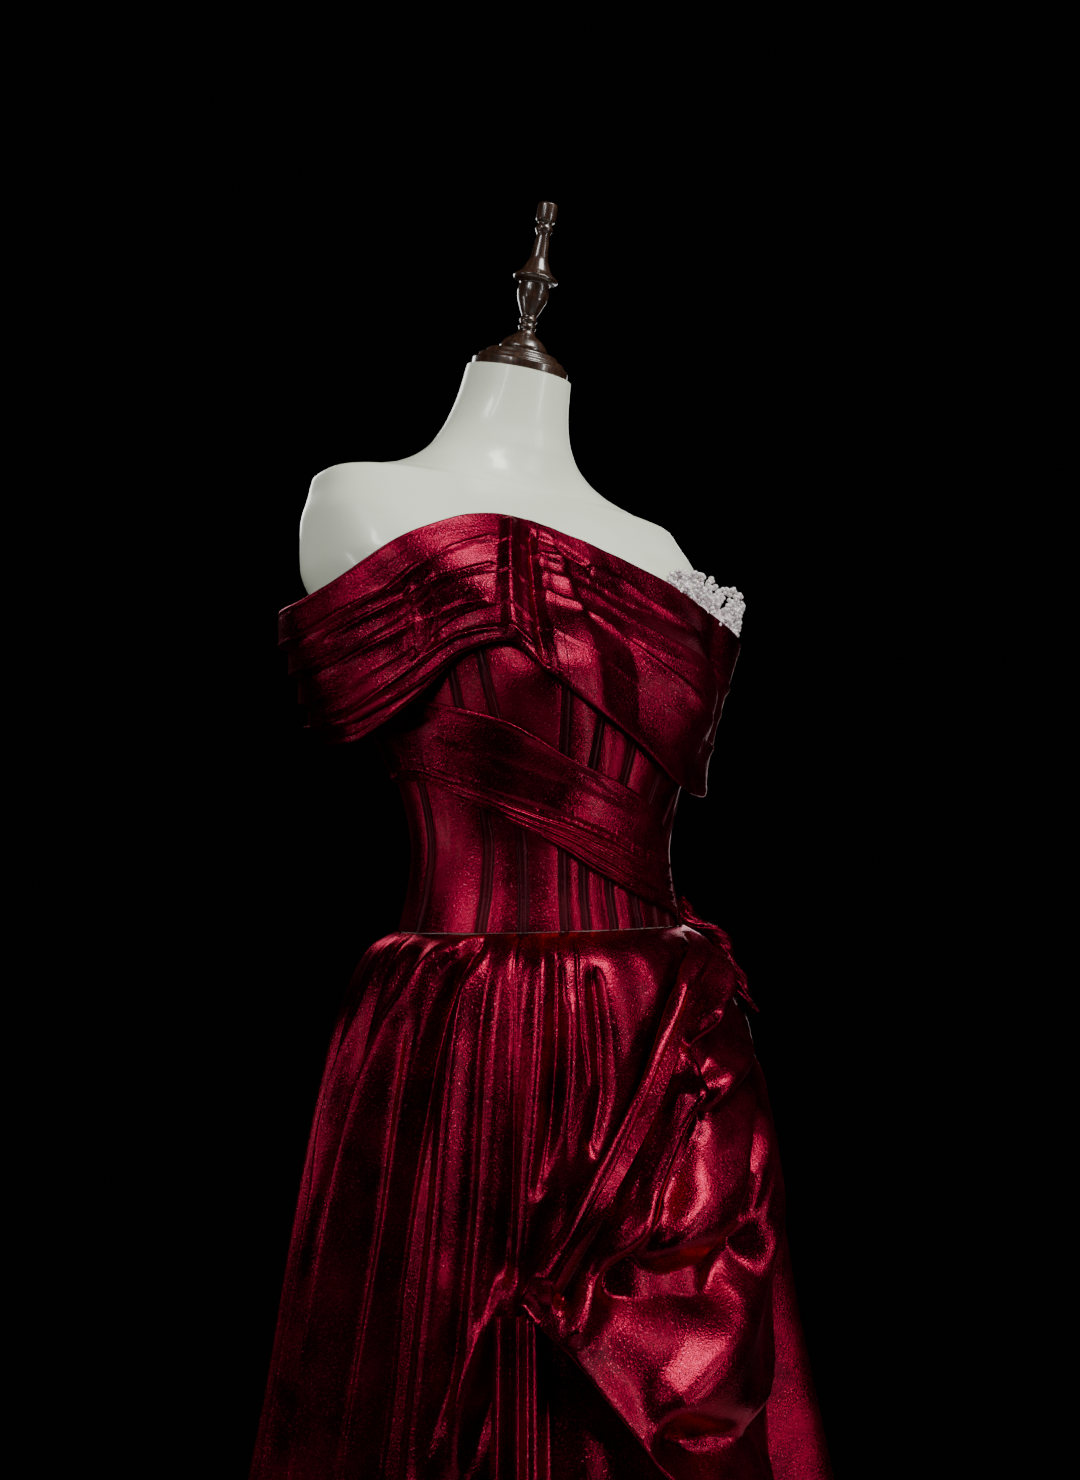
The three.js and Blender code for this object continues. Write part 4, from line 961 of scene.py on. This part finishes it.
# Ridges and hollows of the skirt beside its main folds. All of them run down with the cloth.
SKIRT_CREASES = [
    (14, 12, 0.3, [(-65, 1037), (-70, 1030), (-74.5, 1004), (-78.5, 980), (-81, 940), (-83, 870), (-85, 760),
                   (-86, 500), (-87, 8)]),
    (-14, 7, 0.0, [(-60.5, 1028), (-65, 1004), (-67.2, 980), (-68.5, 950), (-69.5, 900), (-71.5, 800),
                    (-73, 690), (-74, 400), (-75, 8)]),
    (1.2, 5, 0.3, [(-60.8, 1030), (-60.6, 994), (-60.5, 914), (-60.2, 800), (-61.2, 740)]),
    (-4.0, 9, 0.0, [(-54.5, 1022), (-54, 960), (-53, 880), (-51.5, 820), (-52.5, 740), (-56, 640)]),
    (3.2, 9, 0.0, [(-39.5, 1022), (-40.2, 966), (-41.5, 927), (-43, 880), (-44.6, 830)]),
    (-3.0, 5, 0.0, [(-34.8, 1015), (-36.0, 960), (-38.0, 915), (-40.8, 872)]),
    (4.0, 7, 0.2, [(-30.8, 985), (-32.2, 940), (-35.4, 900), (-39.5, 863)]),
    (-8.0, 7, 0.0, [(-22.4, 1004), (-22.6, 965), (-23.6, 930), (-27.5, 895)]),
    (-1.8, 1.6, 0.0, [(-26.6, 1037), (-28.3, 1006), (-28.6, 965), (-27.4, 936)]),
    (-1.8, 1.6, 0.0, [(-48.2, 1037), (-47.2, 980), (-46.4, 896), (-46.2, 830)]),
    (3.4, 6, 0.3, [(-92, 1034), (-92.5, 1000), (-95, 960), (-98, 900), (-103, 820), (-106, 740),
                   (-108, 400), (-108, 8)]),
    (-3.4, 4, 0.0, [(-86.5, 1034), (-87.5, 1000), (-89, 960), (-92, 900), (-96, 820), (-98, 740),
                    (-99, 500), (-100, 8)]),
    (8, 9, 0.3, [(-47.5, 806), (-50, 786), (-53.5, 758), (-57.5, 724), (-60, 692), (-63, 600),
                 (-65, 430), (-65, 8)]),
    (-7, 6, 0.0, [(-47, 772), (-50, 744), (-53.5, 712), (-56, 680), (-58.5, 600), (-60, 430), (-60, 8)]),
]


def skirt_detail(angle, z, place):
    """Broad ridges with narrow deep troughs over the main folds, a few gathers under the waist seam, a few
    finer folds that come and go between them, and uneven soft dents."""
    side_folds = 1 - 0.85 * bump(angle, -22, 38)
    below = smooth(WAIST - z, 4, 90)
    leaning = place + 0.06 * np.sin(2 * np.pi * place + 0.8)
    trough = np.abs(np.sin(np.pi * leaning)) ** 2.4
    depth = 2.4 + 0.75 * skirt["fold"](z)
    depth = depth * (0.8 + 0.4 * ripple(place * 0.7, z / 900, 8))
    deep = depth * (0.8 - 1.7 * trough) * below
    gathers = 1.2 * np.exp(-(WAIST - z) / 40) * smooth(WAIST - z, 0, 10) * np.sin(
        2 * np.pi * (2 * place + 0.5 * np.sin(place * 2.1)))
    gathers = gathers * (0.15 + 0.5 * bump(angle, -80, 14) + smooth(np.abs(angle), 85, 115))
    comes = smooth(ripple(place * 0.9, z / 900, 11), 0.1, 0.9)
    fine = 0.8 * comes * np.sin(2 * np.pi * (2.5 * place + 0.3 * np.sin(place * 1.3)))
    dents = 1.1 * ripple(angle * 0.05, z / 210, 3)
    dents = dents + 4.5 * ripple(place * 1.1, z / 700, 6) * smooth(z, 600, 100)
    rise = gathers + (deep + fine * below) * side_folds
    return rise + dents * smooth(WAIST - z, 10, 90) + crease_lift(SKIRT_CREASES, angle, z)


def skirt_surface(place, z):
    """The main folds with the finer ones over them, which are left out where the drape lies on the skirt."""
    angle = fold_angle(place, z)
    behind = smooth(angle, cascade(z) - 4, cascade(z) + 6) * (1 - smooth(angle, 56, 66)) * smooth(z, 540, 620)
    return around(angle, skirt_radius(angle, z, place) + skirt_detail(angle, z, place) * (1 - behind), z)


# The skirt's sheets: the places where each starts and ends, how many columns it has, and its gores.
SKIRT_SHEETS = {
    "skirt_right_cloth": (-0.5, 9.5, 320, ["skirt_back_right", "skirt_side_back_right", "skirt_side_right"]),
    "skirt_front_cloth": (9.5, 17.5, 270, ["skirt_front_right", "skirt_front"]),
    "skirt_left_cloth": (17.5, 26.5, 220, ["skirt_side_left", "skirt_side_back_left", "skirt_back_left"]),
}


# How far the turned-in waist seam stays off the form, and below the waist.
WAIST_TURN = 1.2


def make_skirt():
    """Each sheet of the skirt with its hem, and its waist seam turned in to the form under the bodice."""
    down = np.r_[np.linspace(SKIRT["z"][0], 600, 56), np.linspace(606, WAIST - 0.4, 112)]
    for name, (start, end, columns, gores) in SKIRT_SHEETS.items():
        place, z = grid(np.linspace(start, end, columns), down)
        points = rolled(skirt_surface(place, z), 2.5, 20, 4)
        edge = fold_angle(place[-1:], WAIST)
        seam = around(edge, form_radius(edge, WAIST) + WAIST_TURN, WAIST - WAIST_TURN)
        points = np.concatenate([points] + [lerp(points[-1:], seam, share) for share in (0.06, 0.5, 1)])
        cloth_piece(name, [points], materials["velvet"], gores)


# The drape's ridges and hollows, from its front edge down, as lines from the left waist round to that edge.
DRAPE_FOLDS = [
    (20, 14, 0.2, [(30, 1032), (4.5, 998), (-9, 958), (-19, 920), (-26, 884), (-32.5, 850), (-38.5, 820)]),
    (-12, 4.5, 0.0, [(35, 1026), (10, 984), (-3.5, 940), (-13.5, 900), (-21.5, 867), (-28.5, 833),
                     (-35.5, 800)]),
    (13, 10, 0.2, [(40, 1022), (14.5, 976), (1.5, 928), (-9, 886), (-17.5, 848), (-25, 817), (-33, 786)]),
    (-14, 11, 0.0, [(13, 938), (5, 900), (-4, 864), (-15, 832), (-24, 806)]),
    (9, 15, 0.0, [(40, 1006), (26, 992), (16, 976)]),
    (-15, 11, 0.0, [(46, 966), (32, 960), (17, 952), (8, 952)]),
    (11, 11, 0.35, [(57, 962), (40, 948), (24, 932), (10, 922), (-2, 926)]),
    (-7, 9, 0.0, [(57, 934), (38, 922), (20, 908), (8, 900)]),
    (12, 24, 0.3, [(56, 912), (32, 878), (8, 848), (-8, 834), (-19, 842)]),
    (-25, 20, 0.0, [(-23, 804), (-10, 796), (4, 792), (17, 802)]),
    (-16, 9, 0.0, [(46, 908), (32, 884), (23, 862), (18, 836)]),
    (15, 22, 0.3, [(56, 860), (38, 828), (20, 790), (4, 758), (-12, 732)]),
    (-26, 16, 0.0, [(40, 694), (22, 682), (7, 682), (-5, 690), (-13, 702)]),
    (11, 17, 0.3, [(57, 752), (36, 716), (16, 690), (-2, 672)]),
    (-12, 13, 0.0, [(52, 690), (34, 664), (18, 650)]),
    (9, 13, 0.2, [(-40, 782), (-31, 748), (-22.5, 712), (-13, 672), (2, 626), (20, 592), (50, 574)]),
    (4, 6, 0.3, [(50, 886), (36, 852), (22, 816), (10, 788)]),
]


# How far the drape stands off the plain section and off the skirt, how close its folds may come to the
# skirt, and how far the tail stands off it.
DRAPE_LOOSE = 4
DRAPE_OUT = 4.8
DRAPE_GAP = 2.4
TAIL_OUT = 3.4


def drape_lift(angle, z):
    """The drape's folds, which flatten towards its edge at the left side."""
    return crease_lift(DRAPE_FOLDS, angle, z) * (1 - 0.72 * smooth(angle, 30, 52))


def drape_surface(u, v):
    """The drape lies on the larger of the plain section and the skirt, with its own folds, and never closer
    than a cloth's thickness to the skirt."""
    angle, z = drape_place(u, v)
    under = skirt_radius(angle, z)
    loose = skirt_oval(angle, z) + DRAPE_LOOSE - drawn_in(angle, z)
    radius = np.maximum(loose, under + DRAPE_OUT) + drape_lift(angle, z)
    radius = radius + 0.8 * ripple(angle * 0.05, z / 90, 9) * smooth(v, 0, 0.1)
    return around(angle, np.maximum(radius, under + DRAPE_GAP), z)


TAIL_MIDDLE, TAIL_HALF = -45.5, 4.1
TAIL_LOW, TAIL_HIGH = 330, 796


def make_drape():
    """The drape with its lower hem and the roll at its front edge, and the tail below it: a rounded lip with
    two ridges and two hollows that run down it."""
    us = np.r_[np.linspace(0, 0.3, 80), np.linspace(0.3, 1, 121)[1:]]
    u, v = grid(us, np.linspace(1, 0, 220))
    hemmed = np.swapaxes(rolled(drape_surface(u, v), 3.0, 14, 5), 0, 1)
    edged = rolled(hemmed[:, ::-1], 5.0, 16, 6)[:, ::-1]
    cloth_piece("hip_drape_cloth", [np.swapaxes(edged, 0, 1)], materials["velvet"],
                ["hip_drape"])
    ends = np.array([-1, 1]) * TAIL_HALF + TAIL_MIDDLE
    angle, z = grid(np.linspace(*ends, 56), np.linspace(TAIL_LOW, TAIL_HIGH, 120))
    across = (angle - TAIL_MIDDLE) / TAIL_HALF
    lip = 11 * (1 - across ** 2)
    for rise, middle, half in ((8, -0.62, 0.2), (-7, -0.15, 0.22), (4, 0.25, 0.16), (-4, 0.62, 0.2)):
        lip = lip + rise * bump(across, middle, half)
    base = skirt_radius(TAIL_MIDDLE - 0.5 + 0 * z, z) + TAIL_OUT
    points = rolled(around(angle + 0.5 * np.sin(z / 90), base + lip, z), 2, 6, 4)
    cloth_piece("drape_tail_cloth", [points], materials["velvet"], ["drape_front_tail"])


# The line of the sash's twisted end down the left hip, and how far it stands off what it lies on.
SASH_END = table("angle z off", [
    [46, 1064, 16], [49, 1048, 16], [52, 1031, 14], [54, 1010, 11], [55, 988, 11], [55, 966, 10]])
SASH_END_HALF_WIDTH, SASH_END_HALF_DEPTH = 9, 5
SASH_END_TURNS = 1.6


def make_sash_end():
    """The twisted end of the sash: an oval that turns on its way down, with narrow gathers round it."""
    knots = np.arange(len(SASH_END["z"]), dtype=float)
    angle, z, off = SASH_END["angle"], SASH_END["z"], SASH_END["off"]
    loose = skirt_oval(angle, z) + DRAPE_LOOSE - drawn_in(angle, z)
    lying = np.maximum(loose, skirt_radius(angle, z) + DRAPE_OUT) + drape_lift(angle, z)
    radius = np.where(z > WAIST, form_radius(angle, z), lying) + off
    spots = around(angle, radius, z)
    share = np.linspace(0, knots[-1], 90)
    line = np.stack([curve({"k": knots, "p": spots[:, c]}, "k", "p")(share) for c in range(3)], -1)
    along = unit(np.gradient(line, axis=0))
    across = unit(np.stack([line[:, 1], -line[:, 0], 0 * share], -1))
    away = np.cross(across, along)
    turn = np.linspace(0, 2 * np.pi, 49)
    s = (share / knots[-1])[:, None]
    swell = 0.55 + 0.45 * np.sin(np.pi * s)
    ribs = 1 + 0.13 * np.sin(7 * turn + 1.3 * np.sin(9 * s)) + 0.05 * np.sin(15 * turn)
    wide = SASH_END_HALF_WIDTH * swell * np.cos(turn) * ribs
    thin = SASH_END_HALF_DEPTH * swell * np.sin(turn) * ribs
    spin = 2 * np.pi * SASH_END_TURNS * s
    points = line[:, None] + across[:, None] * (wide * np.cos(spin) - thin * np.sin(spin))[..., None]
    points = points + away[:, None] * (wide * np.sin(spin) + thin * np.cos(spin))[..., None]
    piece = grid_mesh("sash_end_cloth", [points])
    finish_piece(piece, materials["velvet"], ["sash_end"])


# The bead trim's strip: how far its foot and its top stand from the band's upper edge.
TRIM = table("angle foot top", [
    [38, -14, 6], [47, -16, 16], [60, -16, 24], [76, -16, 26], [92, -16, 20], [108, -16, 6]])
trim = curves(TRIM, "angle")
# How far the strip stands inside the band, how far its top leans out, and how close it may come to the form.
TRIM_INSIDE = 8.5
TRIM_LEAN = 4
TRIM_GAP = 2.2


def trim_point(angle, v):
    """The strip stands just inside the band, leans out a little towards its top and clears the form."""
    z = band["top"](angle) + lerp(trim["foot"](angle), trim["top"](angle), v)
    share = (z - band["bottom"](angle)) / (band["top"](angle) - band["bottom"](angle))
    beside = band_point(angle, np.minimum(share, 1))
    radius = np.hypot(beside[..., 0], beside[..., 1] - ARM_AXIS_Y) - TRIM_INSIDE + TRIM_LEAN * v * v
    radius = np.maximum(radius, form_radius_from_arm_axis(angle, z) + TRIM_GAP)
    return around(angle, radius, z, ARM_AXIS_Y)


BEAD_LOOPS = 84
BEADS_IN_LOOP = 12
BEAD_SIDES = 8
BEAD_RADIUS = 2.3
LOOPS_FROM, LOOPS_TO = 39.5, 106.5


def bead_points():
    """Loops of beads that stand on the trim's strip: each is an upright oval, leaning and turned by its
    number."""
    places = []
    turn = np.linspace(0, 2 * np.pi, BEADS_IN_LOOP, endpoint=False)
    for k in range(BEAD_LOOPS):
        share = (k + 0.5) / BEAD_LOOPS
        level = (0.75 + 0.3 * math.sin(k * 2.4)) if k % 3 else 1.05
        wide = 1.1 + 0.45 * math.sin(k * 1.7)
        tall = 0.24 + 0.06 * math.sin(k * 3.1)
        angle = lerp(LOOPS_FROM, LOOPS_TO, share) + wide * np.sin(turn + 0.4 * k)
        v = np.clip(level + 0.25 * share + tall * np.cos(turn), 0.3, 1.5)
        out = 2.4 + 2.0 * np.cos(turn * 2 + k) + 2.0 * np.maximum(v - 0.7, 0)
        spots = trim_point(angle, v)
        places.append(spots + unit((spots - [0, ARM_AXIS_Y, 0]) * [1, 1, 0]) * out[:, None])
    return np.concatenate(places)


def bead_ball():
    """A small round bead: a pole above and below, three rings of corners between, and their triangles."""
    turn = 2 * np.pi * np.arange(BEAD_SIDES) / BEAD_SIDES
    rings = [np.stack([wide * np.cos(turn), wide * np.sin(turn), high + 0 * turn], -1)
             for wide, high in ((0.83, 0.55), (1, 0), (0.83, -0.55))]
    corners = np.concatenate([[[0, 0, 1]], *rings, [[0, 0, -1]]])
    one = 1 + np.arange(BEAD_SIDES)
    two = 1 + (np.arange(BEAD_SIDES) + 1) % BEAD_SIDES
    n = BEAD_SIDES
    faces = np.stack([
        [0 * one, one, two], [one, one + n, two + n], [one, two + n, two],
        [one + n, one + 2 * n, two + 2 * n], [one + n, two + 2 * n, two + n],
        [one + 2 * n, 0 * one + 3 * n + 1, two + 2 * n]])
    return corners, faces.transpose(2, 0, 1).reshape(-1, 3)


def make_beads():
    """The net strip behind the band's top edge, and its beads, whose radius changes a little with their
    number."""
    angle, v = grid(np.linspace(TRIM["angle"][0], TRIM["angle"][-1], 160), np.linspace(0, 0.85, 20))
    strip = grid_mesh("bead_strip", [moved_out(trim_point(angle, v), 0.2 * ripple(angle, v * 9, 3))])
    finish_piece(strip, materials["net"])
    centres = bead_points()
    ball, triangles = bead_ball()
    numbers = np.arange(len(centres))
    size = BEAD_RADIUS + 0.4 * np.sin(numbers * 2.7)
    corners = (centres[:, None] + ball * size[:, None, None]).reshape(-1, 3) * MM
    faces = (triangles + (numbers * len(ball))[:, None, None]).reshape(-1, 3)
    mesh = bpy.data.meshes.new("bead_loops")
    mesh.from_pydata(corners.tolist(), [], faces.tolist())
    mesh.polygons.foreach_set("use_smooth", np.ones(len(faces), bool))
    piece = bpy.data.objects.new("bead_loops", mesh)
    bpy.context.scene.collection.objects.link(piece)
    finish_piece(piece, materials["bead"], ["bead_trim"])


# Each lamp: its place, what it points at, its width and height in metres, its watts and its colour.
LAMPS = {
    "key lamp": ((0.4, -1.8, 3.4), (0.0, 0.0, 1.15), (1.1, 0.8), 78, (1.0, 1.0, 0.95)),
    "right strip lamp": ((-1.95, -0.15, 1.16), (0.0, 0.0, 1.16), (0.2, 0.5), 2.6, (1.0, 0.98, 0.97)),
    "front strip lamp": ((0.75, -1.9, 1.3), (0.0, 0.0, 1.2), (0.2, 0.6), 7, (1.0, 0.98, 0.98)),
    "soft front lamp": ((1.3, -2.2, 2.2), (0.0, 0.0, 1.1), (0.45, 0.45), 5.5, (1.0, 0.98, 0.98)),
    "right front strip lamp": ((-1.93, -1.25, 2.1), (0.0, 0.0, 1.0), (0.10, 0.9), 9, (1.0, 0.98, 0.98)),
    "right high lamp": ((-1.9, -0.7, 2.5), (0.0, 0.0, 1.0), (0.3, 0.45), 14, (1.0, 0.98, 0.98)),
    "low front lamp": ((1.0, -1.8, 0.3), (0.0, 0.0, 1.15), (0.3, 0.3), 6, (1.0, 0.96, 0.96)),
    "right back strip lamp": ((-1.9, 0.9, 1.0), (0.0, 0.0, 1.1), (0.15, 0.5), 4, (1.0, 0.98, 0.98)),
    "left back lamp": ((1.7, 1.3, 1.5), (0.0, 0.0, 1.0), (0.4, 1.6), 5, (1.0, 0.98, 0.98)),
    "back lamp": ((0.2, 2.2, 2.4), (0.0, 0.0, 1.0), (0.8, 0.8), 13, (1.0, 1.0, 1.0)),
}
WORLD_STRENGTH = 0.001


def make_stage():
    """A round pale floor under the stand, and soft lamps: a key from high in front, rims from both sides."""
    turn, ring = grid(np.linspace(0, 2 * np.pi, 97), [1, 400, 800, 1200])
    floor = grid_mesh("floor", [np.stack([ring * np.sin(turn), -ring * np.cos(turn), 0 * ring], -1)])
    matt, tree, sockets, place = new_material("pale matt floor", Roughness=0.7)
    cloud = node(tree, "ShaderNodeTexNoise", {"Vector": place}, {"Scale": 3.0, "Detail": 3.0}).outputs["Fac"]
    ramp(tree, cloud, [(0.3, grey(0.60)), (0.7, grey(0.66))], sockets["Base Color"])
    floor.data.materials.append(matt)
    for name, (place, aim, size, watts, colour) in LAMPS.items():
        lamp = bpy.data.lights.new(name, "AREA")
        lamp.shape = "RECTANGLE"
        lamp.size, lamp.size_y = size
        lamp.energy = watts
        lamp.color = colour
        holder = bpy.data.objects.new(name, lamp)
        turned = (Vector(aim) - Vector(place)).to_track_quat("-Z", "Y").to_matrix().to_4x4()
        holder.matrix_world = Matrix.Translation(place) @ turned
        bpy.context.scene.collection.objects.link(holder)
    world = bpy.data.worlds.new("studio")
    world.use_nodes = True
    background = world.node_tree.nodes["Background"]
    background.inputs["Color"].default_value = (0.9, 0.92, 1.0, 1.0)
    background.inputs["Strength"].default_value = WORLD_STRENGTH
    bpy.context.scene.world = world


make_form()
make_turned()
make_bodice()
make_sash()
make_band()
make_skirt()
make_drape()
make_sash_end()
make_beads()
make_stage()
